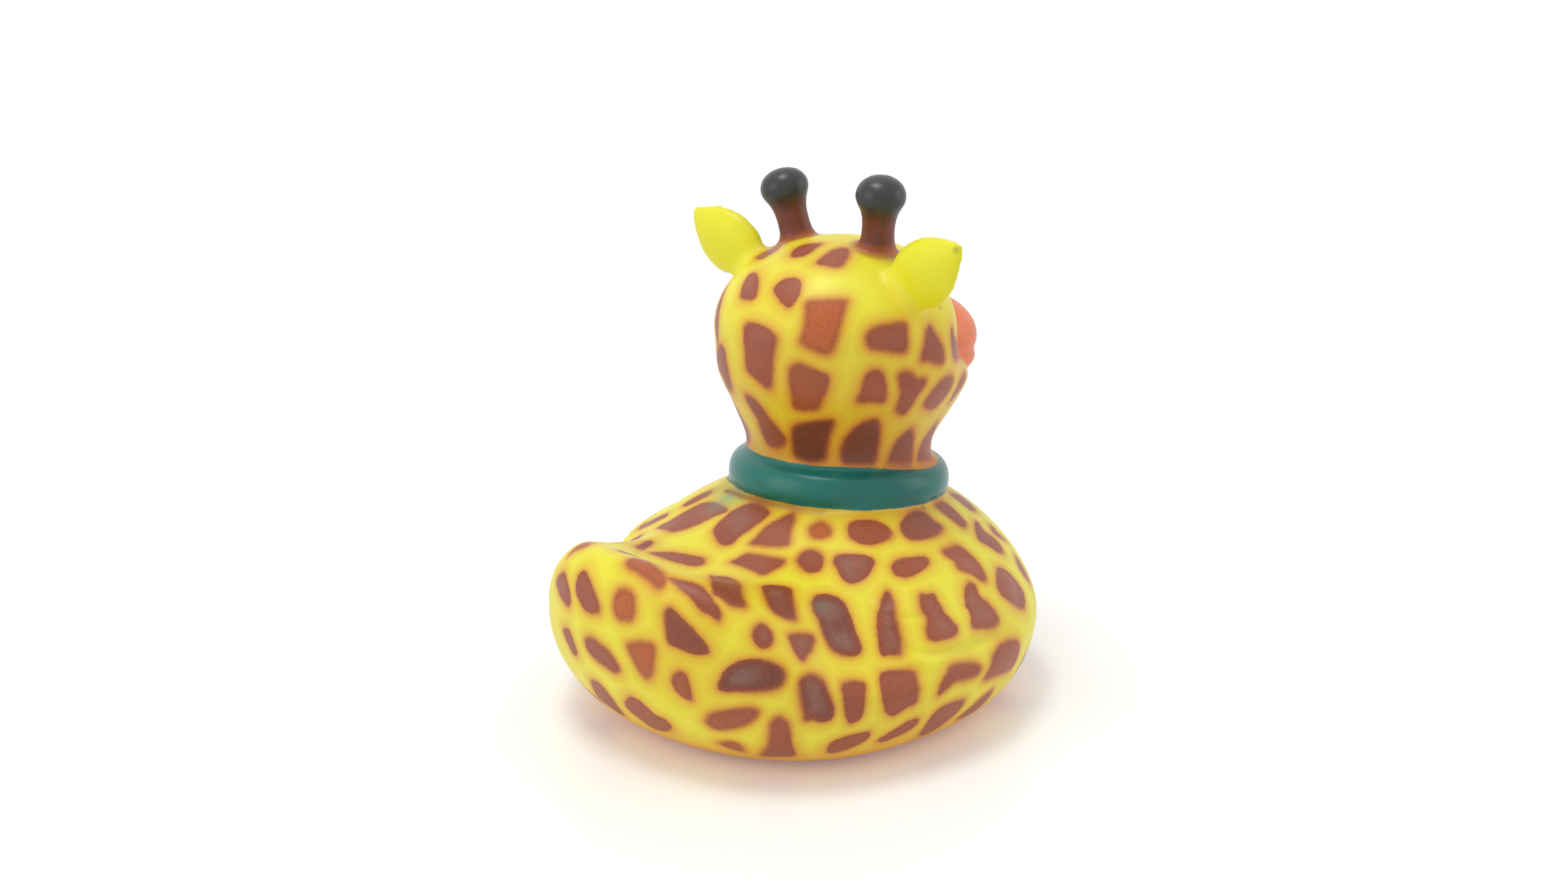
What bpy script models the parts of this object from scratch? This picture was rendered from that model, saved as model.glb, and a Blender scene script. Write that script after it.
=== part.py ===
"""Rubber bath duck dressed as a giraffe: one hollow soft-vinyl moulding with a squeaker plug in its base."""

import bpy
import bmesh
from math import acos, atan2, cos, exp, pi, radians, sin
from mathutils import Matrix, Vector

# Driving dimensions, in millimetres. The duck faces -Y, its tail points to +Y, and the base lies on z = 0
MM = 0.001
WALL = 2.4

HALF_LENGTH = 43.9
HALF_WIDTH = 37.8
CHEST_NARROWING = 0.05
TAIL_SQUARENESS = 0.31
POLE_Y = -6.0
BASE_SHARE = 0.125
BASE_SIZE = 0.67
WIDEST_Z = 14.0
TAIL_WIDEST_Z = 22.5
BACK_TOP_Z = 38.0
SHOULDER_POWER = 1.3
REAR_SHOULDER_POWER = 2.1
NOTCH_TURN = radians(44)
NOTCH_SPREAD = radians(15)
NOTCH_DEPTH = 2.4
TAIL_SPREAD = radians(40)
TAIL_RIM_Z = 32.5
TAIL_RIM_SHARE = 0.91
TAIL_DIP_Z = 25.0
TAIL_DIP_SHARE = 0.64
SADDLE_Z = 32.2
SADDLE_SHARE = 0.40

HEAD_Y = -8.85
HEAD_FOOT_Z = 22.0
NECK_Z = 41.6
NECK_RADIUS = 15.6
HEAD_Z = 61.3
HEAD_RADIUS = 20.9
CHEEK_Z = 52.9
CHEEK_RADIUS = 25.6
FACE_RADIUS = 21.6
TEMPLE_DIP = 0.105
CROWN_Z = 76.2

COLLAR_Z = 34.1
COLLAR_RADIUS = 18.75
COLLAR_HEIGHT = 5.4
COLLAR_TILT = radians(3.5)

HORN_X = 8.3
HORN_Y = -7.9
HORN_Z = 75.0
HORN_LENGTH = 12.1
HORN_STEM_RADIUS = 2.6
HORN_KNOB_RADIUS = 4.1
HORN_LEAN_OUT = radians(11.7)
HORN_LEAN_BACK = radians(9.3)

EAR_X = 20.6
EAR_Y = -4.4
EAR_Z = 74.0
EAR_HALF_LENGTH = 8.8
EAR_HALF_WIDTH = 6.2
EAR_UPPER_SHARE = 0.8
EAR_HALF_THICKNESS = 2.7
EAR_LEAN_OUT = radians(60)
EAR_LEAN_BACK = radians(7)

BILL_Y = -26.6
UPPER_BILL_Z = 57.5
UPPER_BILL = (13.3, 11.8, 8.0)
LOWER_BILL_Z = 54.1
LOWER_BILL = (13.1, 11.8, 4.8)

FEATHERS = (
    # along Y, height, half length, half height, half thickness, rise, tilt
    (-2.6, 22.8, 16.6, 9.0, 5.0, 0.75, radians(-4)),
    (4.0, 25.0, 12.5, 5.4, 3.2, 0.85, radians(-8)),
    (5.0, 20.2, 12.0, 5.4, 3.2, 0.75, radians(-12)),
)

SQUEAKER_FLANGE_RADIUS = 9.0
SQUEAKER_BARREL_RADIUS = 5.6
SQUEAKER_LENGTH = 7.4
SQUEAKER_AIR_RADIUS = 1.2
RECESS_DEPTH = 1.5
FIT_GAP = 0.3
BOSS_RADIUS = 11.5
BOSS_HEIGHT = 5.0

# Start from an empty scene
for old in list(bpy.data.objects):
    bpy.data.objects.remove(old, do_unlink=True)

parts = bpy.data.collections.new("rubber_duck")
helpers = bpy.data.collections.new("duck_cutters")
bpy.context.scene.collection.children.link(parts)
bpy.context.scene.collection.children.link(helpers)


def paint(name, colour, roughness):
    material = bpy.data.materials.new(name)
    material.use_nodes = True
    shader = material.node_tree.nodes["Principled BSDF"]
    shader.inputs["Base Color"].default_value = (*colour, 1.0)
    shader.inputs["Roughness"].default_value = roughness
    shader.inputs["Metallic"].default_value = 0.0
    material.diffuse_color = (*colour, 1.0)
    return material


YELLOW = paint("yellow_vinyl", (0.80, 0.55, 0.07), 0.42)
LEMON = paint("lemon_vinyl", (0.79, 0.74, 0.06), 0.45)
TEAL = paint("teal_paint", (0.012, 0.14, 0.12), 0.35)
BROWN = paint("brown_paint", (0.14, 0.04, 0.025), 0.4)
DARK = paint("dark_paint", (0.05, 0.052, 0.05), 0.3)
CORAL = paint("coral_paint", (0.75, 0.12, 0.06), 0.38)
CREAM = paint("squeaker_plastic", (0.78, 0.76, 0.68), 0.4)


def smooth(stations, t):
    """A monotone curve through (t, value) stations."""
    if t <= stations[0][0]:
        return stations[0][1]
    if t >= stations[-1][0]:
        return stations[-1][1]
    steps = [b[0] - a[0] for a, b in zip(stations, stations[1:])]
    rises = [(b[1] - a[1]) / (b[0] - a[0]) for a, b in zip(stations, stations[1:])]
    slopes = [rises[0]]
    for i in range(1, len(rises)):
        if rises[i - 1] * rises[i] <= 0:
            slopes.append(0.0)
            continue
        near = 2 * steps[i] + steps[i - 1]
        far = steps[i] + 2 * steps[i - 1]
        slopes.append((near + far) / (near / rises[i - 1] + far / rises[i]))
    slopes.append(rises[-1])
    i = max(n for n, station in enumerate(stations[:-1]) if station[0] <= t)
    s = (t - stations[i][0]) / steps[i]
    start, end = stations[i][1], stations[i + 1][1]
    ease = s * s * (3 - 2 * s)
    return (
        start + (end - start) * ease
        + steps[i] * (slopes[i] * s * (1 - s) ** 2 - slopes[i + 1] * s * s * (1 - s))
    )


def body_outline(turn):
    """The body's outline from above; turn 0 is the tail, a quarter turn the left side."""
    c, s = cos(turn), sin(turn)
    power = 2 + TAIL_SQUARENESS * max(c, 0.0)
    reach = (abs(c) ** power + abs(s) ** power) ** (-1 / power)
    y = HALF_LENGTH * reach * c
    narrowing = 1 - CHEST_NARROWING * max(-y / HALF_LENGTH, 0.0) ** 1.5
    return HALF_WIDTH * reach * s * narrowing, y


def body_point(turn, climb):
    """A point of the body's skin; climb runs from 0 at the base's middle to 1 at the back's top."""
    edge_x, edge_y = body_outline(turn)
    off_tail = min(turn % (2 * pi), 2 * pi - turn % (2 * pi))
    tail = exp(-((off_tail / TAIL_SPREAD) ** 4))
    widest = WIDEST_Z + (TAIL_WIDEST_Z - WIDEST_Z) * tail
    if climb <= 0.5:
        rise = climb / 0.5
        if rise <= BASE_SHARE:
            share = BASE_SIZE * rise / BASE_SHARE
            z = 0.0
        else:
            t = (rise - BASE_SHARE) / (1 - BASE_SHARE) * pi / 2
            share = BASE_SIZE + (1 - BASE_SIZE) * sin(t)
            z = widest * (1 - cos(t))
    else:
        u = (climb - 0.5) / 0.5
        t = u * pi / 2
        side_share = cos(t)
        rear = ((1 + cos(turn)) / 2) ** 2
        power = SHOULDER_POWER + (REAR_SHOULDER_POWER - SHOULDER_POWER) * rear
        side_z = widest + (BACK_TOP_Z - widest) * sin(t) ** power
        side_z -= NOTCH_DEPTH * exp(-(((off_tail - NOTCH_TURN) / NOTCH_SPREAD) ** 2)) * sin(2 * t) ** 2
        lip = TAIL_RIM_SHARE
        tail_share = smooth(
            [(0, 1), (0.16, (1 + lip) / 2 + 0.035), (0.34, lip), (0.52, (lip + TAIL_DIP_SHARE) / 2),
             (0.68, TAIL_DIP_SHARE), (0.84, SADDLE_SHARE), (1, 0)], u)
        tail_z = smooth(
            [(0, TAIL_WIDEST_Z), (0.16, TAIL_WIDEST_Z + 0.62 * (TAIL_RIM_Z - TAIL_WIDEST_Z)),
             (0.34, TAIL_RIM_Z), (0.52, TAIL_DIP_Z + 0.6 * (TAIL_RIM_Z - TAIL_DIP_Z)),
             (0.68, TAIL_DIP_Z), (0.84, SADDLE_Z), (1, BACK_TOP_Z)], u)
        share = side_share * (1 - tail) + tail_share * tail
        z = side_z * (1 - tail) + tail_z * tail
    return Vector((edge_x * share, POLE_Y + (edge_y - POLE_Y) * share, z))


def head_point(turn, climb):
    """A point of the neck and head; climb runs from the foot inside the body to the crown."""
    rise = HEAD_Z - NECK_Z
    round_side = [(HEAD_FOOT_Z, NECK_RADIUS + 1.5), (NECK_Z - 3, NECK_RADIUS), (NECK_Z, NECK_RADIUS),
                  (NECK_Z + 0.33 * rise, 17.7), (NECK_Z + 0.66 * rise, 20.4), (HEAD_Z, HEAD_RADIUS)]
    face_side = [(HEAD_FOOT_Z, NECK_RADIUS + 1.5), (NECK_Z - 3, NECK_RADIUS), (NECK_Z, NECK_RADIUS + 0.3),
                 (NECK_Z + 0.25 * rise, 21.4), (CHEEK_Z - 3.0, CHEEK_RADIUS - 0.7), (CHEEK_Z, CHEEK_RADIUS),
                 (CHEEK_Z + 3.9, CHEEK_RADIUS - 2.3), (HEAD_Z, FACE_RADIUS)]
    temple = [(CHEEK_Z - 1, 0.0), (CHEEK_Z + 4.5, 1.0), (HEAD_Z + 4, 1.0), (CROWN_Z, 0.0)]
    foot_share = 0.08
    if climb <= 0.5:
        up = climb / 0.5
        closing = min(up / foot_share, 1.0)
        z = HEAD_FOOT_Z + (HEAD_Z - HEAD_FOOT_Z) * max(up - foot_share, 0.0) / (1 - foot_share)
        around = smooth(round_side, z) * closing
        ahead = smooth(face_side, z) * closing
    else:
        t = (climb - 0.5) / 0.5 * pi / 2
        z = HEAD_Z + (CROWN_Z - HEAD_Z) * sin(t)
        around = HEAD_RADIUS * cos(t)
        ahead = FACE_RADIUS * cos(t)
    if cos(turn) > 0:
        return Vector((around * sin(turn), HEAD_Y + around * cos(turn), z))
    dip = 1 - TEMPLE_DIP * smooth(temple, z) * sin(2 * turn) ** 2
    return Vector((around * dip * sin(turn), HEAD_Y + ahead * dip * cos(turn), z))


def ball(name, segments, rings, place, materials, inset=0.0, collection=None):
    """A sphere whose points are moved by place(turn, climb), then drawn in by inset."""
    mesh = bpy.data.meshes.new(name)
    bm = bmesh.new()
    bmesh.ops.create_uvsphere(bm, u_segments=segments, v_segments=rings, radius=1.0)
    for vert in bm.verts:
        turn = atan2(vert.co.x, vert.co.y)
        climb = 1 - acos(max(-1.0, min(1.0, vert.co.z))) / pi
        vert.co = place(turn, climb) * MM
    bmesh.ops.recalc_face_normals(bm, faces=bm.faces)
    bm.normal_update()
    if inset:
        for vert in bm.verts:
            vert.co -= vert.normal * inset * MM
        bm.normal_update()
    bm.to_mesh(mesh)
    bm.free()
    mesh.shade_smooth()
    for material in materials:
        mesh.materials.append(material)
    obj = bpy.data.objects.new(name, mesh)
    (collection or helpers).objects.link(obj)
    return obj


def turned(name, profile, steps, materials, closed=False, collection=None, paint_from=None):
    """A profile of (radius, height) points, in millimetres and from the top down, turned about Z."""
    mesh = bpy.data.meshes.new(name)
    bm = bmesh.new()
    points = [bm.verts.new((radius * MM, 0.0, height * MM)) for radius, height in profile]
    for start, end in zip(points, points[1:]):
        bm.edges.new((start, end))
    if closed:
        bm.edges.new((points[-1], points[0]))
    bm.to_mesh(mesh)
    bm.free()
    for material in materials:
        mesh.materials.append(material)
    obj = bpy.data.objects.new(name, mesh)
    (collection or helpers).objects.link(obj)
    screw = obj.modifiers.new("turn", "SCREW")
    screw.axis = "Z"
    screw.steps = steps
    screw.render_steps = steps
    screw.use_merge_vertices = True
    screw.merge_threshold = 0.00005
    screw.use_smooth_shade = True
    graph = bpy.context.evaluated_depsgraph_get()
    solid = bpy.data.meshes.new_from_object(obj.evaluated_get(graph))
    obj.modifiers.clear()
    obj.data = solid
    bm = bmesh.new()
    bm.from_mesh(solid)
    bmesh.ops.recalc_face_normals(bm, faces=bm.faces)
    if paint_from is not None:
        for face in bm.faces:
            face.material_index = 1 if face.calc_center_median().z > paint_from * MM else 0
    bm.to_mesh(solid)
    bm.free()
    return obj


def helper(obj):
    obj.hide_render = True
    obj.display_type = "WIRE"


def join(target, other, operation):
    cut = target.modifiers.new(other.name, "BOOLEAN")
    cut.operation = operation
    cut.object = other
    cut.solver = "EXACT"
    cut.material_mode = "TRANSFER"
    helper(other)


# The body and the head with its neck
duck = ball("duck_body", 48, 32, body_point, [YELLOW], collection=parts)
head = ball("head_form", 36, 22, head_point, [YELLOW])
join(duck, head, "UNION")

# The raised collar band round the neck, a little lower at the front
collar = turned(
    "collar_form",
    [(14.3, COLLAR_HEIGHT - 0.5), (15.9, COLLAR_HEIGHT), (17.2, COLLAR_HEIGHT - 0.5),
     (18.2, COLLAR_HEIGHT - 1.7), (COLLAR_RADIUS, 2.0), (COLLAR_RADIUS - 0.1, 0.2), (17.4, -0.6), (14.3, -0.6)],
    36, [TEAL], closed=True)
collar.location = (0.0, HEAD_Y * MM, COLLAR_Z * MM)
collar.rotation_euler = (COLLAR_TILT, 0.0, 0.0)
join(duck, collar, "UNION")

# Two horns with knobs, leaning out and back
horn_profile = [
    (0.0, HORN_LENGTH), (1.6, HORN_LENGTH - 0.2), (3.0, HORN_LENGTH - 0.95), (3.8, HORN_LENGTH - 1.95),
    (HORN_KNOB_RADIUS, HORN_LENGTH - 3.2), (3.9, HORN_LENGTH - 4.3), (3.35, HORN_LENGTH - 5.2),
    (HORN_STEM_RADIUS + 0.4, HORN_LENGTH - 6.1), (HORN_STEM_RADIUS + 0.15, HORN_LENGTH - 7.5),
    (HORN_STEM_RADIUS + 0.08, HORN_LENGTH - 9.4), (2.85, HORN_LENGTH - 10.9),
    (3.25, HORN_LENGTH - 12.5), (3.6, HORN_LENGTH - 14.7), (0.0, HORN_LENGTH - 14.7)]
for side, tag in ((1, "left"), (-1, "right")):
    horn = turned("horn_form_" + tag, horn_profile, 14, [BROWN, DARK], paint_from=HORN_LENGTH - 5.9)
    lean = Matrix.Rotation(side * HORN_LEAN_OUT, 4, "Y") @ Matrix.Rotation(-HORN_LEAN_BACK, 4, "X")
    horn.matrix_world = Matrix.Translation(Vector((side * HORN_X, HORN_Y, HORN_Z)) * MM) @ lean
    join(duck, horn, "UNION")


def ear_point(turn, climb, side):
    """A leaf: long axis up, the front (-Y) hollowed, the tip drawn to a point, the upper edge straighter."""
    out = sin(climb * pi)
    high = -cos(climb * pi)
    taper = smooth([(-1, 1.0), (-0.2, 1.0), (0.3, 0.93), (0.7, 0.72), (1, 0.42)], high)
    thick = EAR_HALF_THICKNESS * (1.0 if cos(turn) > 0 else 0.45)
    wide = EAR_HALF_WIDTH * (EAR_UPPER_SHARE if side * sin(turn) < 0 else 1.0)
    return Vector((out * sin(turn) * wide * taper, out * cos(turn) * thick * taper, high * EAR_HALF_LENGTH))


for side, tag in ((1, "left"), (-1, "right")):
    ear = ball("ear_form_" + tag, 14, 12, lambda turn, climb: ear_point(turn, climb, side), [LEMON])
    lean = Matrix.Rotation(side * EAR_LEAN_OUT, 4, "Y") @ Matrix.Rotation(-EAR_LEAN_BACK, 4, "X")
    ear.matrix_world = Matrix.Translation(Vector((side * EAR_X, EAR_Y, EAR_Z)) * MM) @ lean
    join(duck, ear, "UNION")


def flat_ball(centre, half):
    """A squashed ball about centre, with half sizes along X, Y and Z."""
    def place(turn, climb):
        out = sin(climb * pi)
        return Vector((centre[0] + half[0] * out * sin(turn), centre[1] + half[1] * out * cos(turn),
                       centre[2] - half[2] * cos(climb * pi)))
    return place


# The bill: a broad upper half over a smaller lower half
for name, z, half in (("upper_bill_form", UPPER_BILL_Z, UPPER_BILL), ("lower_bill_form", LOWER_BILL_Z, LOWER_BILL)):
    bill = ball(name, 22, 12, flat_ball((0.0, BILL_Y, z), half), [CORAL])
    join(duck, bill, "UNION")


def side_point(y, z):
    """The point of the body's left side nearest to the given y and z."""
    grid = [body_point(radians(turn), climb / 100) for turn in range(20, 160, 2) for climb in range(46, 90)]
    return min(grid, key=lambda point: (point.y - y) ** 2 + (point.z - z) ** 2)


# A wing in low relief on each side, with two feathers that overlap at its back
for number, (y, z, half_length, half_height, half_thick, rise, tilt) in enumerate(FEATHERS):
    at = side_point(y, z)
    ahead = side_point(y - 3, z)
    above = side_point(y, z + 3)
    outward = (ahead - at).cross(above - at).normalized()
    if outward.x < 0:
        outward.negate()
    along = Vector((0, 1, 0)) - outward * outward.y
    along.normalize()
    upward = outward.cross(along)
    for side, tag in ((1, "left"), (-1, "right")):
        feather = ball(
            "feather_form_%d_%s" % (number + 1, tag), 20, 8,
            flat_ball((0.0, 0.0, 0.0), (half_thick, half_length, half_height)), [YELLOW])
        turn = Matrix((outward, along, upward)).transposed().to_4x4() @ Matrix.Rotation(tilt, 4, "X")
        place = Matrix.Translation((at + outward * (rise - half_thick)) * MM) @ turn
        if side < 0:
            place = Matrix.Scale(-1, 4, Vector((1, 0, 0))) @ place @ Matrix.Scale(-1, 4, Vector((1, 0, 0)))
        feather.matrix_world = place
        join(duck, feather, "UNION")

# The hollow inside follows the body and the head at the wall's thickness
hollow = ball("hollow_form", 24, 16, body_point, [YELLOW], inset=WALL)
inner_head = ball("inner_head_form", 20, 12, head_point, [YELLOW], inset=WALL)
join(hollow, inner_head, "UNION")
boss = turned(
    "boss_form", [(0.0, BOSS_HEIGHT), (BOSS_RADIUS, BOSS_HEIGHT), (BOSS_RADIUS, -1.0), (0.0, -1.0)], 24, [YELLOW])
join(hollow, boss, "DIFFERENCE")
join(duck, hollow, "DIFFERENCE")

# The seat for the squeaker in the base
seat = turned(
    "seat_form",
    [(0.0, BOSS_HEIGHT + 3), (SQUEAKER_BARREL_RADIUS + FIT_GAP, BOSS_HEIGHT + 3),
     (SQUEAKER_BARREL_RADIUS + FIT_GAP, RECESS_DEPTH), (SQUEAKER_FLANGE_RADIUS + FIT_GAP, RECESS_DEPTH),
     (SQUEAKER_FLANGE_RADIUS + FIT_GAP, -1.0), (0.0, -1.0)],
    24, [YELLOW])
join(duck, seat, "DIFFERENCE")

# The squeaker: a flange, a hollow barrel and a lip that holds it in the moulding
flange_top = RECESS_DEPTH - FIT_GAP
squeaker = turned(
    "squeaker",
    [(3.4, SQUEAKER_LENGTH), (4.6, SQUEAKER_LENGTH), (6.4, SQUEAKER_LENGTH - 1.2),
     (6.4, BOSS_HEIGHT + FIT_GAP), (SQUEAKER_BARREL_RADIUS, BOSS_HEIGHT + FIT_GAP),
     (SQUEAKER_BARREL_RADIUS, flange_top), (SQUEAKER_FLANGE_RADIUS, flange_top),
     (SQUEAKER_FLANGE_RADIUS, FIT_GAP), (SQUEAKER_AIR_RADIUS, FIT_GAP), (SQUEAKER_AIR_RADIUS, 2.0), (3.4, 2.6)],
    24, [CREAM], closed=True, collection=parts)
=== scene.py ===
from math import acos, atan, atan2, cos, exp, pi, radians, sin
import bmesh
import bpy
import numpy as np
from mathutils import Matrix, Vector
from mathutils.bvhtree import BVHTree


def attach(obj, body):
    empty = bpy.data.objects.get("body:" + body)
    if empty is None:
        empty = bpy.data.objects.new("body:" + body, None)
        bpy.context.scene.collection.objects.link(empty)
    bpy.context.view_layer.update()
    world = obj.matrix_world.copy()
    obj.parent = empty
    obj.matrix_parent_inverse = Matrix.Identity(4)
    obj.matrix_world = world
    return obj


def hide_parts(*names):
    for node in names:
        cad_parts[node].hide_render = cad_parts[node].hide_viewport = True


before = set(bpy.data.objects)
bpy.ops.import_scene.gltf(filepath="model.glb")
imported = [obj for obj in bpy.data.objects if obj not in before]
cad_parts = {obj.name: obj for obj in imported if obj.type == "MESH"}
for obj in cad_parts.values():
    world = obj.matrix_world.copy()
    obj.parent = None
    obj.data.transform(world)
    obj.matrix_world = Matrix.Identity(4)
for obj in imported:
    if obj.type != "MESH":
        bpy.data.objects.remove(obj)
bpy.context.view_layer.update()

MM = 0.001
scene = bpy.context.scene

# The camera stands behind the duck's right side. Its pixel sizes are those of the whole photograph
PHOTO_WIDTH = 2576
PHOTO_HEIGHT = 1449
CAMERA_TURN = radians(220.0)
CAMERA_DISTANCE = 262.5
CAMERA_HEIGHT = 112.1
FOCAL_PIXELS = 2695.2
HORIZON_ROW = 15.0
ORIGIN_COLUMN = 1323.7

camera_at = MM * Vector((
    sin(CAMERA_TURN) * CAMERA_DISTANCE, -cos(CAMERA_TURN) * CAMERA_DISTANCE, CAMERA_HEIGHT))
camera_pitch = atan((PHOTO_HEIGHT / 2 - HORIZON_ROW) / FOCAL_PIXELS)
camera_swing = atan((ORIGIN_COLUMN - PHOTO_WIDTH / 2) / FOCAL_PIXELS)
heading = Vector((-sin(CAMERA_TURN), cos(CAMERA_TURN), 0.0))
level_right = heading.cross(Vector((0, 0, 1)))
heading = heading * cos(camera_swing) - level_right * sin(camera_swing)
camera_right = heading.cross(Vector((0, 0, 1))).normalized()
camera_ahead = heading * cos(camera_pitch) - Vector((0, 0, 1)) * sin(camera_pitch)
camera_up = camera_right.cross(camera_ahead)
turn_matrix = Matrix((camera_right, camera_up, -camera_ahead)).transposed().to_4x4()

lens = bpy.data.cameras.new("photo_camera")
lens.sensor_width = 36.0
lens.lens = FOCAL_PIXELS / PHOTO_WIDTH * lens.sensor_width
lens.clip_start = 0.01
lens.clip_end = 20.0
camera = bpy.data.objects.new("photo_camera", lens)
camera.matrix_world = Matrix.Translation(camera_at) @ turn_matrix
scene.collection.objects.link(camera)
scene.camera = camera


def pixel_ray(column, row):
    """The direction in which the camera sees a pixel of the photograph."""
    across = (column - PHOTO_WIDTH / 2) / FOCAL_PIXELS
    down = (row - PHOTO_HEIGHT / 2) / FOCAL_PIXELS
    return (camera_ahead + camera_right * across - camera_up * down).normalized()


# The moulding's sizes, in millimetres, as in its solid
HALF_LENGTH = 43.9
HALF_WIDTH = 37.8
CHEST_NARROWING = 0.05
TAIL_SQUARENESS = 0.31
POLE_Y = -6.0
BASE_SHARE = 0.125
BASE_SIZE = 0.67
WIDEST_Z = 14.0
TAIL_WIDEST_Z = 22.5
BACK_TOP_Z = 38.0
SHOULDER_POWER = 1.3
REAR_SHOULDER_POWER = 2.1
NOTCH_TURN = radians(44)
NOTCH_SPREAD = radians(15)
NOTCH_DEPTH = 2.4
TAIL_SPREAD = radians(40)
TAIL_RIM_Z = 32.5
TAIL_RIM_SHARE = 0.91
TAIL_DIP_Z = 25.0
TAIL_DIP_SHARE = 0.64
SADDLE_Z = 32.2
SADDLE_SHARE = 0.40
HEAD_Y = -8.85
HEAD_FOOT_Z = 22.0
NECK_Z = 41.6
NECK_RADIUS = 15.6
HEAD_Z = 61.3
HEAD_RADIUS = 20.9
CHEEK_Z = 52.9
CHEEK_RADIUS = 25.6
FACE_RADIUS = 21.6
TEMPLE_DIP = 0.105
CROWN_Z = 76.2
COLLAR_Z = 34.1
COLLAR_RADIUS = 18.75
COLLAR_INNER_RADIUS = 14.3
COLLAR_HEIGHT = 5.4
COLLAR_PAINT_RADIUS = 15.75
COLLAR_PAINT_TOP = 6.2
COLLAR_ROUND = 3.2
COLLAR_TILT = radians(3.5)
HORN_X = 8.3
HORN_Y = -7.9
HORN_Z = 75.0
HORN_LENGTH = 12.1
HORN_KNOB_RADIUS = 4.1
HORN_STEM_RADIUS = 2.6
HORN_FOOT_RADIUS = 3.5
HORN_LEAN_OUT = radians(11.7)
HORN_LEAN_BACK = radians(9.3)
EAR_X = 20.6
EAR_Y = -4.4
EAR_Z = 74.0
EAR_HALF_LENGTH = 8.8
EAR_HALF_WIDTH = 6.2
EAR_UPPER_SHARE = 0.8
EAR_HALF_THICKNESS = 2.7
EAR_SET = {1: 0.5, -1: -0.8}
EAR_LEAN_OUT = radians(60)
EAR_LEAN_BACK = radians(7)
BILL_Y = -26.6
UPPER_BILL_Z = 57.5
UPPER_BILL = (13.3, 11.8, 8.0)
LOWER_BILL_Z = 54.1
LOWER_BILL = (13.1, 11.8, 4.8)
# Each feather's y, z, half length, half height, half thickness, rise and tilt
FEATHERS = (
    (-2.6, 22.8, 16.6, 9.0, 5.0, 0.75, radians(-4)),
    (4.0, 25.0, 12.5, 5.4, 3.2, 0.85, radians(-8)),
    (5.0, 20.2, 12.0, 5.4, 3.2, 0.75, radians(-12)),
)
SQUEAKER_FLANGE_RADIUS = 9.0
RECESS_DEPTH = 1.5
FIT_GAP = 0.3
SKIN_VOXEL = 0.57
MOUTH_Z = 53.2
MOUTH_CURL = 0.012
MOUTH_HALF_WIDTH = 0.6
NOSTRIL_HALF = (0.85, 2.0, 0.6)
NOSTRIL_X = 3.3
NOSTRIL_Z = 60.6
EYE_X = 9.2
EYE_Z = 66.2
EYE_HALF_WIDTH = 2.7
EYE_HALF_HEIGHT = 3.9
GLINT_RADIUS = 0.75
GLINT_X = 0.7
GLINT_Z = 1.5
GOLD_FROM_Z = 69.0

# Paint and painted light, as sRGB
YELLOW = (236, 228, 58)
YELLOW_DEEP = (232, 214, 46)
EAR_YELLOW = (233, 227, 38)
OVERSPRAY = (220, 156, 44)
HALO = (208, 120, 46)
PATCH_EDGE = (152, 74, 40)
PATCH_DARK = (112, 58, 42)
PATCH_MIDDLE = (158, 82, 54)
PATCH_ORANGE = (186, 96, 44)
# Painted sheen on the darker patches
PAINTED_PATCH_SHEEN = (148, 112, 102)
# Painted glow along the base
PAINTED_GLOW = (252, 138, 0)
# Warm tint on the neck and lower head, and painted shade round the collar's lower edge
WARM_TINT_AND_SHADE = (206, 124, 30)
MIST = (84, 150, 124)
# Painted shade in the crease under the collar
CREASE_SHADE = (140, 70, 20)
TEAL = (14, 114, 104)
TEAL_DEEP = (8, 100, 92)
HORN_BROWN = (78, 46, 36)
HORN_RED = (118, 58, 38)
HORN_FOOT = (176, 88, 34)
KNOB = (52, 54, 52)
BILL_ORANGE = (233, 126, 84)
MOUTH_BROWN = (168, 74, 44)
EYE_BLACK = (24, 22, 22)
GLINT_WHITE = (245, 245, 242)
CREAM = (236, 230, 214)

# Marks seen in the photograph: column, row, reach in millimetres, strength
SCUFFS = ((1571, 410, 0.45, 0.6), (1517, 834, 0.45, 0.8), (1545, 505, 0.35, 0.5))
MIST_SPOTS = ((1200, 815, 3.5, 0.9), (1180, 806, 2.5, 0.5), (1346, 998, 1.3, 0.4))
# The path of the painted shade in the crease under the collar's lower edge, and its half width in
# millimetres
CREASE_SHADE_PATH = ((1193, 806), (1220, 816), (1252, 825), (1285, 832), (1320, 838), (1350, 841))
CREASE_SHADE_HALF_WIDTH = 0.55

# The valley beside the tail's rim, which the added patches keep clear of
CLEAR_SPOT = (1052, 909)
CLEAR_OF_MIRRORED = 8.0
CLEAR_OF_FILLED = 7.0
CLEAR_STRIP = ((1040, 908), (1058, 915), (1083, 925), (1107, 936), (1130, 945))
CLEAR_REACH = 3.5


def smooth(stations, t):
    """A monotone curve through (t, value) stations."""
    if t <= stations[0][0]:
        return stations[0][1]
    if t >= stations[-1][0]:
        return stations[-1][1]
    steps = [b[0] - a[0] for a, b in zip(stations, stations[1:])]
    rises = [(b[1] - a[1]) / (b[0] - a[0]) for a, b in zip(stations, stations[1:])]
    slopes = [rises[0]]
    for i in range(1, len(rises)):
        if rises[i - 1] * rises[i] <= 0:
            slopes.append(0.0)
            continue
        near = 2 * steps[i] + steps[i - 1]
        far = steps[i] + 2 * steps[i - 1]
        slopes.append((near + far) / (near / rises[i - 1] + far / rises[i]))
    slopes.append(rises[-1])
    i = max(n for n, station in enumerate(stations[:-1]) if station[0] <= t)
    s = (t - stations[i][0]) / steps[i]
    start, end = stations[i][1], stations[i + 1][1]
    ease = s * s * (3 - 2 * s)
    return (
        start + (end - start) * ease
        + steps[i] * (slopes[i] * s * (1 - s) ** 2 - slopes[i + 1] * s * s * (1 - s))
    )


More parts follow.
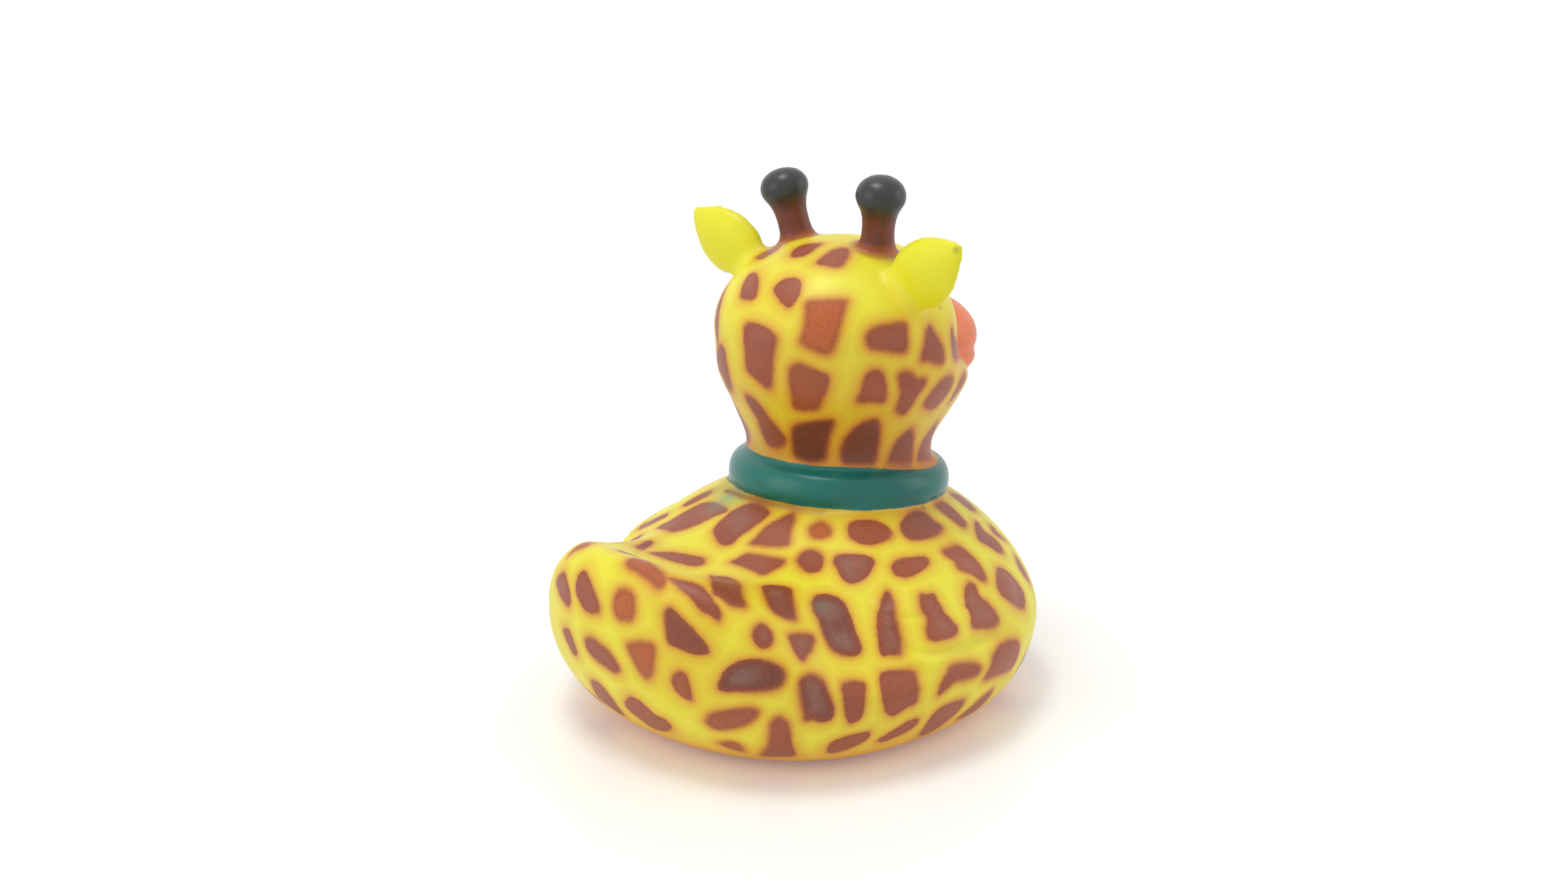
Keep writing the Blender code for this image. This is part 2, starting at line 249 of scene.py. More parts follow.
def body_outline(turn):
    """The widest outline of the body, seen from above, as x and y."""
    c, s = cos(turn), sin(turn)
    power = 2 + TAIL_SQUARENESS * max(c, 0.0)
    reach = (abs(c) ** power + abs(s) ** power) ** (-1 / power)
    y = HALF_LENGTH * reach * c
    narrowing = 1 - CHEST_NARROWING * max(-y / HALF_LENGTH, 0.0) ** 1.5
    return HALF_WIDTH * reach * s * narrowing, y


def body_point(turn, climb):
    """A point of the body's skin; climb runs from 0 at the base's middle to 1 at the back's top."""
    edge_x, edge_y = body_outline(turn)
    off_tail = min(turn % (2 * pi), 2 * pi - turn % (2 * pi))
    tail = exp(-((off_tail / TAIL_SPREAD) ** 4))
    widest = WIDEST_Z + (TAIL_WIDEST_Z - WIDEST_Z) * tail
    if climb <= 0.5:
        rise = climb / 0.5
        if rise <= BASE_SHARE:
            share = BASE_SIZE * rise / BASE_SHARE
            z = 0.0
        else:
            t = (rise - BASE_SHARE) / (1 - BASE_SHARE) * pi / 2
            share = BASE_SIZE + (1 - BASE_SIZE) * sin(t)
            z = widest * (1 - cos(t))
    else:
        u = (climb - 0.5) / 0.5
        t = u * pi / 2
        side_share = cos(t)
        rear = ((1 + cos(turn)) / 2) ** 2
        power = SHOULDER_POWER + (REAR_SHOULDER_POWER - SHOULDER_POWER) * rear
        side_z = widest + (BACK_TOP_Z - widest) * sin(t) ** power
        side_z -= NOTCH_DEPTH * exp(-(((off_tail - NOTCH_TURN) / NOTCH_SPREAD) ** 2)) * sin(2 * t) ** 2
        lip = TAIL_RIM_SHARE
        tail_share = smooth(
            [(0, 1), (0.16, (1 + lip) / 2 + 0.035), (0.34, lip), (0.52, (lip + TAIL_DIP_SHARE) / 2),
             (0.68, TAIL_DIP_SHARE), (0.84, SADDLE_SHARE), (1, 0)], u)
        tail_z = smooth(
            [(0, TAIL_WIDEST_Z), (0.16, TAIL_WIDEST_Z + 0.62 * (TAIL_RIM_Z - TAIL_WIDEST_Z)),
             (0.34, TAIL_RIM_Z), (0.52, TAIL_DIP_Z + 0.6 * (TAIL_RIM_Z - TAIL_DIP_Z)),
             (0.68, TAIL_DIP_Z), (0.84, SADDLE_Z), (1, BACK_TOP_Z)], u)
        share = side_share * (1 - tail) + tail_share * tail
        z = side_z * (1 - tail) + tail_z * tail
    return Vector((edge_x * share, POLE_Y + (edge_y - POLE_Y) * share, z))


def head_point(turn, climb):
    """A point of the neck and head; climb runs from the foot inside the body to the crown."""
    rise = HEAD_Z - NECK_Z
    round_side = [(HEAD_FOOT_Z, NECK_RADIUS + 1.5), (NECK_Z - 3, NECK_RADIUS), (NECK_Z, NECK_RADIUS),
                  (NECK_Z + 0.33 * rise, 17.7), (NECK_Z + 0.66 * rise, 20.4), (HEAD_Z, HEAD_RADIUS)]
    face_side = [(HEAD_FOOT_Z, NECK_RADIUS + 1.5), (NECK_Z - 3, NECK_RADIUS), (NECK_Z, NECK_RADIUS + 0.3),
                 (NECK_Z + 0.25 * rise, 21.4), (CHEEK_Z - 3.0, CHEEK_RADIUS - 0.7), (CHEEK_Z, CHEEK_RADIUS),
                 (CHEEK_Z + 3.9, CHEEK_RADIUS - 2.3), (HEAD_Z, FACE_RADIUS)]
    temple = [(CHEEK_Z - 1, 0.0), (CHEEK_Z + 4.5, 1.0), (HEAD_Z + 4, 1.0), (CROWN_Z, 0.0)]
    foot_share = 0.08
    if climb <= 0.5:
        up = climb / 0.5
        closing = min(up / foot_share, 1.0)
        z = HEAD_FOOT_Z + (HEAD_Z - HEAD_FOOT_Z) * max(up - foot_share, 0.0) / (1 - foot_share)
        around = smooth(round_side, z) * closing
        ahead = smooth(face_side, z) * closing
    else:
        t = (climb - 0.5) / 0.5 * pi / 2
        z = HEAD_Z + (CROWN_Z - HEAD_Z) * sin(t)
        around = HEAD_RADIUS * cos(t)
        ahead = FACE_RADIUS * cos(t)
    if cos(turn) > 0:
        return Vector((around * sin(turn), HEAD_Y + around * cos(turn), z))
    dip = 1 - TEMPLE_DIP * smooth(temple, z) * sin(2 * turn) ** 2
    return Vector((around * dip * sin(turn), HEAD_Y + ahead * dip * cos(turn), z))


def ear_point(turn, climb, side):
    """A leaf: long axis up, the front hollowed, the tip drawn to a point, the upper edge straighter."""
    out = sin(climb * pi)
    high = -cos(climb * pi)
    taper = smooth([(-1, 1.0), (-0.2, 1.0), (0.3, 0.93), (0.7, 0.72), (1, 0.42)], high)
    thick = EAR_HALF_THICKNESS * (1.0 if cos(turn) > 0 else 0.45)
    wide = EAR_HALF_WIDTH * (EAR_UPPER_SHARE if side * sin(turn) < 0 else 1.0)
    return Vector((out * sin(turn) * wide * taper, out * cos(turn) * thick * taper, high * EAR_HALF_LENGTH))


def flat_ball(centre, half):
    """A place function for a ball with its own half size along each axis."""
    def place(turn, climb):
        out = sin(climb * pi)
        return Vector((centre[0] + half[0] * out * sin(turn), centre[1] + half[1] * out * cos(turn),
                       centre[2] - half[2] * cos(climb * pi)))
    return place


def add_ball(mesh_data, segments, rings, place, matrix=Matrix.Identity(4)):
    """Adds a sphere to mesh_data with its points moved by place(turn, climb) and then by matrix."""
    made = bmesh.ops.create_uvsphere(mesh_data, u_segments=segments, v_segments=rings, radius=1.0)
    for vert in made["verts"]:
        turn = atan2(vert.co.x, vert.co.y)
        climb = 1 - acos(max(-1.0, min(1.0, vert.co.z))) / pi
        vert.co = matrix @ place(turn, climb)


def add_turned(mesh_data, profile, steps, matrix=Matrix.Identity(4), closed=False):
    """Adds a profile of (radius, height) points turned about Z, moved by matrix."""
    own = bmesh.new()
    points = [own.verts.new((radius, 0.0, height)) for radius, height in profile]
    edges = [own.edges.new(pair) for pair in zip(points, points[1:])]
    if closed:
        edges.append(own.edges.new((points[-1], points[0])))
    bmesh.ops.spin(
        own, geom=points + edges, cent=(0, 0, 0), axis=(0, 0, 1), angle=2 * pi, steps=steps, use_merge=True)
    bmesh.ops.remove_doubles(own, verts=own.verts, dist=0.005)
    bmesh.ops.recalc_face_normals(own, faces=own.faces)
    bmesh.ops.transform(own, matrix=matrix, verts=own.verts)
    form = bpy.data.meshes.new("turned_form")
    own.to_mesh(form)
    own.free()
    mesh_data.from_mesh(form)
    bpy.data.meshes.remove(form)


def object_from(name, mesh_data):
    """An object in metres from forms drawn in millimetres."""
    bmesh.ops.scale(mesh_data, vec=(MM, MM, MM), verts=mesh_data.verts)
    bmesh.ops.recalc_face_normals(mesh_data, faces=mesh_data.faces)
    mesh = bpy.data.meshes.new(name)
    mesh_data.to_mesh(mesh)
    mesh_data.free()
    obj = bpy.data.objects.new(name, mesh)
    scene.collection.objects.link(obj)
    return obj


def settled(obj):
    """obj's mesh with its modifiers applied, in place of the old one."""
    graph = bpy.context.evaluated_depsgraph_get()
    mesh = bpy.data.meshes.new_from_object(obj.evaluated_get(graph))
    obj.modifiers.clear()
    obj.data = mesh
    return mesh


# One skin over all the forms, so that ears, horns, wings and collar run into the body as in a mould
forms = bmesh.new()
add_ball(forms, 168, 104, body_point)
add_ball(forms, 128, 84, head_point)
collar_place = Matrix.Translation((0.0, HEAD_Y, COLLAR_Z)) @ Matrix.Rotation(COLLAR_TILT, 4, "X")
collar_bulge = [
    (COLLAR_RADIUS - COLLAR_ROUND * (1 - sin(radians(a)) ** 0.85),
     1.4 + (COLLAR_HEIGHT - 1.4) * max(cos(radians(a)), 0.0) ** 0.85)
    for a in range(0, 91, 6)]
collar_profile = [
    (COLLAR_INNER_RADIUS, COLLAR_HEIGHT - 0.1), *collar_bulge, (COLLAR_RADIUS - 0.05, 0.7),
    (COLLAR_RADIUS - 0.4, 0.0), (17.4, -0.5), (COLLAR_INNER_RADIUS, -0.5)]
add_turned(forms, collar_profile, 160, collar_place, closed=True)

horn_profile = [(radius, HORN_LENGTH - drop) for radius, drop in (
    (0.0, 0.0), (1.1, 0.09), (2.1, 0.4), (3.0, 0.95), (3.65, 1.7), (4.02, 2.5), (HORN_KNOB_RADIUS, 3.2),
    (4.05, 3.9), (3.75, 4.6), (3.35, 5.2), (HORN_STEM_RADIUS + 0.5, 5.8), (HORN_STEM_RADIUS + 0.22, 6.8),
    (HORN_STEM_RADIUS + 0.06, 8.2), (HORN_STEM_RADIUS + 0.08, 9.6), (2.8, 10.9), (3.25, 12.3), (3.7, 14.7),
    (0.0, 14.7))]
horn_places = []
ear_places = []
for side in (1, -1):
    lean = Matrix.Rotation(side * HORN_LEAN_OUT, 4, "Y") @ Matrix.Rotation(-HORN_LEAN_BACK, 4, "X")
    horn_places.append(Matrix.Translation((side * HORN_X, HORN_Y, HORN_Z)) @ lean)
    add_turned(forms, horn_profile, 48, horn_places[-1])
    lean = Matrix.Rotation(side * EAR_LEAN_OUT, 4, "Y") @ Matrix.Rotation(-EAR_LEAN_BACK, 4, "X")
    ear_places.append(Matrix.Translation((side * EAR_X, EAR_Y, EAR_Z + EAR_SET[side])) @ lean)
    add_ball(forms, 48, 40, lambda turn, climb: ear_point(turn, climb, side), ear_places[-1])

add_ball(forms, 72, 40, flat_ball((0.0, BILL_Y, UPPER_BILL_Z), UPPER_BILL))
add_ball(forms, 72, 40, flat_ball((0.0, BILL_Y, LOWER_BILL_Z), LOWER_BILL))


def side_point(y, z):
    """The point of the body's left side nearest to the given y and z."""
    grid = [body_point(radians(turn), climb / 100) for turn in range(20, 160, 2) for climb in range(46, 90)]
    return min(grid, key=lambda point: (point.y - y) ** 2 + (point.z - z) ** 2)


for y, z, half_length, half_height, half_thick, rise, tilt in FEATHERS:
    at = side_point(y, z)
    outward = (side_point(y - 3, z) - at).cross(side_point(y, z + 3) - at).normalized()
    if outward.x < 0:
        outward.negate()
    along = (Vector((0, 1, 0)) - outward * outward.y).normalized()
    basis = Matrix((outward, along, outward.cross(along))).transposed().to_4x4()
    place = Matrix.Translation(at + outward * (rise - half_thick)) @ basis @ Matrix.Rotation(tilt, 4, "X")
    mirror = Matrix.Scale(-1, 4, Vector((1, 0, 0)))
    feather = flat_ball((0.0, 0.0, 0.0), (half_thick, half_length, half_height))
    add_ball(forms, 64, 40, feather, place)
    add_ball(forms, 64, 40, feather, mirror @ place @ mirror)

duck = object_from("duck_moulding", forms)
skin = duck.modifiers.new("skin", "REMESH")
skin.mode = "VOXEL"
skin.voxel_size = SKIN_VOXEL * MM
skin.adaptivity = 0.0
ease = duck.modifiers.new("ease", "SMOOTH")
ease.factor = 0.5
ease.iterations = 4
settled(duck)

# The seat for the squeaker
seat = bmesh.new()
add_turned(
    seat,
    [(0.0, RECESS_DEPTH), (SQUEAKER_FLANGE_RADIUS + FIT_GAP, RECESS_DEPTH),
     (SQUEAKER_FLANGE_RADIUS + FIT_GAP, -1.0), (0.0, -1.0)], 96)
seat_cutter = object_from("seat_cutter", seat)
cut = duck.modifiers.new("seat", "BOOLEAN")
cut.operation = "DIFFERENCE"
cut.solver = "EXACT"
cut.object = seat_cutter
mesh = settled(duck)
bpy.data.objects.remove(seat_cutter, do_unlink=True)


def read_points(mesh):
    """The mesh's points, in millimetres."""
    flat = np.empty(len(mesh.vertices) * 3, np.float64)
    mesh.vertices.foreach_get("co", flat)
    return flat.reshape(-1, 3) / MM


def write_points(mesh, points):
    mesh.vertices.foreach_set("co", (points * MM).ravel())
    mesh.update()


def read_normals(mesh):
    flat = np.empty(len(mesh.vertices) * 3, np.float64)
    mesh.vertex_normals.foreach_get("vector", flat)
    return flat.reshape(-1, 3)


def tree_of(mesh):
    """The skin in millimetres, for finding where a ray meets it."""
    mesh.calc_loop_triangles()
    points = [Vector(point) for point in read_points(mesh)]
    corners = [tuple(triangle.vertices) for triangle in mesh.loop_triangles]
    return BVHTree.FromPolygons(points, corners)


def seen_points(tree, outline):
    """Where the photograph's pixels fall on the skin, in millimetres; pixels past its edge are left out."""
    found = []
    for column, row in outline:
        hit, normal, _, _ = tree.ray_cast(camera_at / MM, pixel_ray(column, row))
        if hit is not None:
            found.append((np.array(hit), np.array(normal)))
    return found


def level_axes(up):
    """Two directions square to up and to each other."""
    first = np.cross(up, (0.0, 0.0, 1.0) if abs(up[2]) < 0.9 else (0.0, 1.0, 0.0))
    first /= np.linalg.norm(first)
    return first, np.cross(up, first)


def rounded(points, steps=5):
    """A closed outline drawn smoothly through its points."""
    count = len(points)
    drawn = []
    for i in range(count):
        before, start, end, after = (points[(i + k) % count] for k in (-1, 0, 1, 2))
        for step in range(steps):
            t = step / steps
            drawn.append(0.5 * (
                2 * start + (end - before) * t + (2 * before - 5 * start + 4 * end - after) * t * t
                + (3 * start - before - 3 * end + after) * t ** 3))
    return np.array(drawn)


def line_distance(points, path, closed=False):
    """How far each point lies from a path, in the path's own dimensions."""
    best = np.full(len(points), 1e9)
    ends = list(zip(path, path[1:])) + ([(path[-1], path[0])] if closed else [])
    for start, end in ends:
        run = end - start
        share = np.clip(((points - start) @ run) / max(run @ run, 1e-9), 0, 1)
        best = np.minimum(best, np.linalg.norm(points - start - share[:, None] * run, axis=1))
    return best


def inside(points, path):
    """Whether each flat point lies within a closed path."""
    odd = np.zeros(len(points), bool)
    for start, end in zip(path, np.roll(path, -1, axis=0)):
        crosses = (start[1] > points[:, 1]) != (end[1] > points[:, 1])
        rise = end[1] - start[1] if end[1] != start[1] else 1e-9
        at = start[0] + (points[:, 1] - start[1]) / rise * (end[0] - start[0])
        odd ^= crosses & (points[:, 0] < at)
    return odd


def place_inverse(matrix, points):
    """The points in the frame that matrix placed a form from."""
    back = np.array(matrix.inverted())
    return points @ back[:3, :3].T + back[:3, 3]


def head_distance(points):
    """How far points lie from the head's middle, with its skin at about 1."""
    half = (HEAD_RADIUS, HEAD_RADIUS, CROWN_Z - HEAD_Z)
    return np.linalg.norm((points - (0, HEAD_Y, HEAD_Z)) / half, axis=1)


def ear_span(near):
    """How far points in an ear's own frame lie from its middle, squared, with its skin at 1."""
    return (
        (near[:, 0] / EAR_HALF_WIDTH) ** 2 + (near[:, 1] / EAR_HALF_THICKNESS) ** 2
        + (near[:, 2] / EAR_HALF_LENGTH) ** 2)


def relax(mesh, weight, rounds):
    """Eases the skin where weight is above zero: each point moves toward the middle of its neighbours."""
    points = read_points(mesh)
    ends = np.empty(len(mesh.edges) * 2, np.int32)
    mesh.edges.foreach_get("vertices", ends)
    first, second = ends.reshape(-1, 2).T
    weight = np.where(weight > 0.01, weight, 0.0)
    near = (weight[first] > 0) | (weight[second] > 0)
    used, index = np.unique(np.stack([first[near], second[near]]), return_inverse=True)
    first, second = index.reshape(2, -1)
    patchwork, share, total = points[used], 0.5 * weight[used][:, None], len(used)
    count = (np.bincount(first, minlength=total) + np.bincount(second, minlength=total))[:, None]
    for _ in range(rounds):
        middle = np.stack([
            np.bincount(first, patchwork[second, axis], total)
            + np.bincount(second, patchwork[first, axis], total) for axis in range(3)], 1) / count
        patchwork += (middle - patchwork) * share
    points[used] = patchwork
    write_points(mesh, points)


# The tail's rim runs out softly into the back, and the ears grow softly out of the head
TAIL_RIM_END = (
    (1100, 914, 2.2), (1130, 926, 3.2), (1160, 936, 4.4), (1180, 942, 5.4), (1200, 948, 6.4),
    (1222, 953, 7.2), (1245, 957, 7.6), (1268, 962, 7.6), (1290, 966, 7.2))
RIM_SINKING = 0.12
RIM_ROUNDS = 700
EAR_ROOT_EASE = 1.7
EAR_ROOT_ROUNDS = 46
tree = tree_of(mesh)
points = read_points(mesh)
rim_normals = read_normals(mesh)
rim = np.zeros(len(points))
for column, row, reach in TAIL_RIM_END:
    hit = seen_points(tree, [(column, row)])[0][0]
    for flip in (1, -1):
        away = np.linalg.norm(points - hit * (flip, 1, 1), axis=1)
        rim = np.maximum(rim, np.exp(-((away / reach) ** 2)))
relax(mesh, rim, RIM_ROUNDS)
eased = read_points(mesh) - points
outward = (eased * rim_normals).sum(axis=1)
sinking = RIM_SINKING + (1 - RIM_SINKING) * np.clip(0.5 - points[:, 0] / 8.0, 0, 1)
points += eased * np.where(outward > 0, 1.0, sinking)[:, None]
write_points(mesh, points)
close = np.exp(-(((head_distance(points) - 1.03) * HEAD_RADIUS / EAR_ROOT_EASE) ** 2))
root = np.zeros(len(points))
for place in ear_places:
    root = np.maximum(root, close * np.clip(2.2 - ear_span(place_inverse(place, points)), 0, 1))
relax(mesh, root, EAR_ROOT_ROUNDS)

# Feather edges pressed into both wings, followed along the right one: depth, then the pixels
FEATHER_EDGES = {
    "upper_feather_edge": (
        0.28, (1426, 984), (1434, 998), (1452, 1010), (1475, 1015), (1510, 1015), (1545, 1008),
        (1585, 996), (1625, 982)),
    "lower_feather_edge": (
        0.42, (1478, 1056), (1498, 1069), (1527, 1076), (1560, 1072), (1600, 1061), (1640, 1042),
        (1665, 1022)),
}
GROOVE_HALF_WIDTH = 0.7
tree = tree_of(mesh)
points = read_points(mesh)
normals = read_normals(mesh)
sunk = np.zeros(len(points))
for depth, *outline in FEATHER_EDGES.values():
    path = np.array([hit for hit, _ in seen_points(tree, outline)])
    for flip in (1, -1):
        line = path * (flip, 1, 1)
        away = line_distance(points, line)
        end_fade = np.minimum(1, np.linalg.norm(points - line[-1], axis=1) / 5)
        sunk = np.maximum(sunk, depth * np.exp(-((away / GROOVE_HALF_WIDTH) ** 2)) * end_fade)
points -= normals * sunk[:, None]
write_points(mesh, points)
mesh.shade_smooth()

# Giraffe patches on the seen side: rough corner points, as columns and rows of the photograph,
# and how thin the paint lies, from 0 for dark to 1 for orange
PATCHES = {
    "crown_left": (0.45, (1241, 424), (1249, 412), (1263, 404), (1285, 400), (1277, 410), (1262, 420),
        (1250, 426)),
    "crown_middle": (0.5, (1299, 419), (1308, 408), (1322, 402), (1350, 400), (1335, 412), (1322, 420),
        (1306, 423)),
    "crown_right": (0.5, (1340, 433), (1352, 421), (1372, 409), (1390, 407), (1396, 415), (1388, 432),
        (1376, 440), (1358, 437)),
    "nape_left_small": (0.45, (1217, 488), (1218, 475), (1224, 460), (1232, 450), (1243, 449), (1246, 460),
        (1245, 478), (1240, 490), (1228, 493)),
    "nape_middle_small": (0.5, (1271, 477), (1280, 464), (1294, 457), (1308, 457), (1316, 465), (1314, 483),
        (1306, 496), (1297, 506), (1284, 498)),
    "nape_large_right": (0.9, (1325, 496), (1350, 493), (1389, 493), (1388, 508), (1380, 540), (1374, 562),
        (1364, 581), (1348, 581), (1330, 573), (1315, 563), (1320, 540), (1323, 515)),
    "nape_large_left": (0.45, (1223, 535), (1236, 530), (1256, 537), (1270, 546), (1277, 558), (1272, 580),
        (1270, 610), (1268, 635), (1258, 637), (1240, 622), (1226, 606), (1224, 580), (1222, 555)),
    "left_rim_upper": (0.4, (1194, 470), (1187, 490), (1182, 512), (1180, 540), (1179, 566), (1172, 562),
        (1171, 535), (1175, 505), (1184, 480)),
    "left_rim_lower": (0.4, (1182, 566), (1190, 573), (1194, 595), (1199, 620), (1203, 640), (1197, 641),
        (1188, 620), (1178, 592), (1175, 575)),
    "nape_centre": (0.6, (1298, 605), (1312, 597), (1330, 604), (1350, 611), (1362, 618), (1361, 635),
        (1352, 656), (1344, 672), (1322, 675), (1304, 670), (1300, 650), (1296, 625)),
    "neck_left_slant": (0.35, (1224, 652), (1232, 650), (1246, 662), (1262, 684), (1280, 705), (1292, 722),
        (1285, 735), (1264, 733), (1252, 713), (1245, 691), (1234, 672)),
    "neck_back_left": (0.05, (1303, 700), (1330, 692), (1368, 689), (1368, 706), (1361, 730), (1358, 752),
        (1346, 760), (1318, 758), (1303, 746), (1300, 720)),
    "neck_back_right": (0.15, (1384, 726), (1397, 708), (1418, 693), (1440, 688), (1447, 704), (1443, 740),
        (1436, 762), (1410, 769), (1386, 763), (1380, 745)),
    "neck_side": (0.3, (1459, 765), (1464, 740), (1478, 718), (1498, 704), (1501, 725), (1499, 755),
        (1494, 766), (1474, 773)),
    "neck_front": (0.35, (1507, 757), (1511, 735), (1524, 712), (1540, 694), (1536, 716), (1529, 745),
        (1518, 757)),
    "cheek_upper": (0.45, (1422, 560), (1426, 545), (1440, 536), (1465, 531), (1488, 530), (1491, 550),
        (1491, 572), (1482, 581), (1455, 577), (1430, 573)),
    "cheek_cone": (0.4, (1512, 593), (1518, 565), (1521, 545), (1527, 534), (1537, 548), (1549, 570),
        (1552, 590), (1545, 599), (1525, 594)),
    "cheek_sliver": (0.4, (1562, 546), (1565, 538), (1569, 555), (1575, 580), (1573, 591), (1567, 590),
        (1563, 566)),
    "cheek_low_left": (0.5, (1408, 656), (1414, 640), (1420, 620), (1430, 609), (1444, 608), (1453, 620),
        (1457, 645), (1452, 661), (1430, 661), (1411, 662)),
    "cheek_low_middle": (0.45, (1475, 619), (1484, 610), (1496, 611), (1506, 620), (1521, 622), (1520, 633),
        (1508, 649), (1500, 663), (1488, 679), (1478, 681), (1471, 672), (1477, 655), (1479, 640)),
    "cheek_low_right": (0.45, (1517, 665), (1525, 650), (1540, 631), (1554, 619), (1566, 619), (1563, 635),
        (1550, 656), (1535, 671), (1524, 672)),
    "cheek_rim": (0.4, (1561, 660), (1570, 640), (1578, 622), (1586, 612), (1592, 612), (1589, 630),
        (1580, 647), (1571, 659)),
    "back_left_rim": (0.4, (1122, 830), (1138, 819), (1160, 808), (1170, 806), (1165, 813), (1140, 826),
        (1126, 832)),
    "far_wing": (0.3, (1050, 869), (1062, 859), (1080, 850), (1096, 844), (1094, 849), (1080, 856),
        (1062, 865)),
    "far_feather": (0.3, (1045, 898), (1060, 890), (1070, 888), (1072, 893), (1060, 902), (1051, 903)),
    "shoulder_long": (0.4, (1080, 867), (1100, 856), (1125, 841), (1150, 828), (1172, 825), (1190, 832),
        (1194, 840), (1175, 848), (1150, 860), (1120, 871), (1100, 873)),
    "shoulder_second": (0.35, (1175, 882), (1172, 870), (1190, 850), (1215, 833), (1240, 826), (1263, 838),
        (1258, 851), (1235, 868), (1215, 882), (1200, 895), (1183, 894)),
    "shoulder_third": (0.45, (1232, 893), (1245, 879), (1262, 862), (1285, 850), (1304, 842), (1305, 856),
        (1299, 875), (1295, 895), (1270, 898), (1245, 896)),
    "back_slit": (0.45, (1068, 908), (1100, 907), (1140, 913), (1157, 918), (1156, 927), (1140, 930),
        (1115, 925), (1090, 917)),
    "back_kite": (0.45, (1200, 924), (1214, 916), (1228, 909), (1242, 911), (1265, 915), (1289, 920),
        (1285, 929), (1268, 938), (1254, 945), (1238, 939), (1220, 931)),
    "collar_orange": (0.95, (1330, 868), (1340, 860), (1352, 858), (1364, 868), (1363, 880), (1348, 885),
        (1333, 882)),
    "collar_wide": (0.5, (1394, 862), (1412, 854), (1436, 855), (1453, 862), (1466, 876), (1456, 888),
        (1430, 896), (1408, 891), (1395, 881)),
    "collar_square": (0.3, (1479, 862), (1490, 846), (1505, 838), (1520, 842), (1535, 855), (1549, 866),
        (1541, 879), (1518, 886), (1496, 887), (1483, 877)),
    "collar_slant": (0.4, (1537, 828), (1548, 823), (1562, 832), (1578, 848), (1588, 860), (1582, 867),
        (1570, 859), (1555, 847), (1542, 837)),
    "front_streak": (0.4, (1562, 812), (1575, 813), (1590, 824), (1603, 838), (1595, 839), (1580, 827)),
    "front_streak_upper": (0.4, (1564, 794), (1578, 799), (1598, 814), (1590, 812), (1575, 806)),
    "front_arrow": (0.35, (1601, 860), (1605, 856), (1612, 866), (1620, 875), (1632, 883), (1644, 896),
        (1648, 908), (1640, 908), (1624, 897), (1610, 889), (1603, 876)),
    "front_splinter": (0.4, (1626, 864), (1632, 866), (1640, 876), (1652, 887), (1645, 885), (1632, 876)),
    "front_rim": (0.4, (1670, 915), (1678, 912), (1688, 925), (1695, 945), (1692, 957), (1682, 946),
        (1672, 929)),
    "front_large": (0.45, (1637, 936), (1646, 933), (1658, 942), (1672, 958), (1682, 975), (1684, 996),
        (1678, 1001), (1662, 991), (1644, 976), (1637, 958)),
    "shoulder_right": (0.55, (1548, 905), (1560, 899), (1575, 896), (1592, 909), (1608, 925), (1618, 942),
        (1620, 953), (1612, 955), (1595, 943), (1575, 936), (1567, 922), (1554, 914)),
    "shoulder_pill": (0.5, (1464, 931), (1474, 920), (1500, 915), (1522, 915), (1527, 924), (1518, 935),
        (1500, 946), (1484, 949), (1469, 943)),
    "shoulder_round": (0.3, (1369, 925), (1375, 912), (1400, 910), (1425, 913), (1437, 922), (1431, 939),
        (1418, 953), (1400, 959), (1386, 953), (1377, 938)),
    "shoulder_small": (0.4, (1309, 920), (1320, 906), (1335, 903), (1350, 911), (1353, 925), (1346, 938),
        (1328, 941), (1315, 932)),
    "flank_kite": (0.25, (1251, 965), (1262, 961), (1280, 962), (1299, 967), (1303, 982), (1307, 1005),
        (1306, 1019), (1288, 1016), (1269, 1005), (1259, 988)),
    "flank_dark": (0.3, (1165, 949), (1175, 947), (1200, 949), (1215, 957), (1219, 975), (1225, 992),
        (1221, 999), (1200, 995), (1183, 982), (1169, 965)),
    "ridge_long": (0.35, (1098, 949), (1118, 953), (1150, 961), (1166, 978), (1179, 995), (1185, 1010),
        (1181, 1021), (1165, 1011), (1149, 1001), (1134, 982), (1114, 965)),
    "ridge_bar": (0.8, (1029, 925), (1040, 917), (1060, 921), (1080, 933), (1093, 948), (1091, 963),
        (1080, 967), (1067, 956), (1050, 943), (1034, 934)),
    "tail_top": (0.85, (928, 907), (936, 898), (950, 893), (968, 891), (965, 897), (945, 905), (935, 911)),
    "tail_left": (0.45, (914, 955), (920, 943), (928, 941), (933, 958), (938, 985), (934, 997), (924, 986),
        (917, 970)),
    "tail_middle": (0.45, (947, 955), (953, 941), (962, 939), (970, 954), (979, 978), (986, 1000),
        (980, 1008), (962, 1004), (951, 985), (946, 970)),
    "tail_orange": (0.95, (1009, 985), (1015, 971), (1028, 967), (1041, 978), (1043, 1000), (1038, 1018),
        (1020, 1019), (1009, 1006)),
    "tail_dark": (0.25, (1091, 1010), (1095, 1000), (1105, 999), (1120, 1014), (1140, 1034), (1155, 1051),
        (1166, 1068), (1161, 1075), (1140, 1075), (1118, 1067), (1098, 1057), (1094, 1038)),
    "tail_lower_orange": (0.85, (1030, 1061), (1045, 1055), (1062, 1055), (1075, 1061), (1075, 1085),
        (1071, 1109), (1062, 1115), (1052, 1106), (1041, 1086)),
    "tail_lower_middle": (0.45, (961, 1051), (972, 1047), (985, 1057), (1000, 1069), (1013, 1088),
        (1019, 1101), (1011, 1106), (995, 1096), (977, 1082), (965, 1068)),
    "tail_lower_left": (0.45, (925, 1035), (934, 1033), (942, 1052), (949, 1073), (944, 1077), (933, 1058)),
    "keel_left": (0.45, (971, 1119), (982, 1120), (996, 1135), (1011, 1155), (1026, 1176), (1020, 1179),
        (1004, 1167), (989, 1151), (977, 1136)),
    "keel_middle": (0.5, (1027, 1156), (1034, 1145), (1048, 1149), (1062, 1161), (1076, 1174), (1093, 1182),
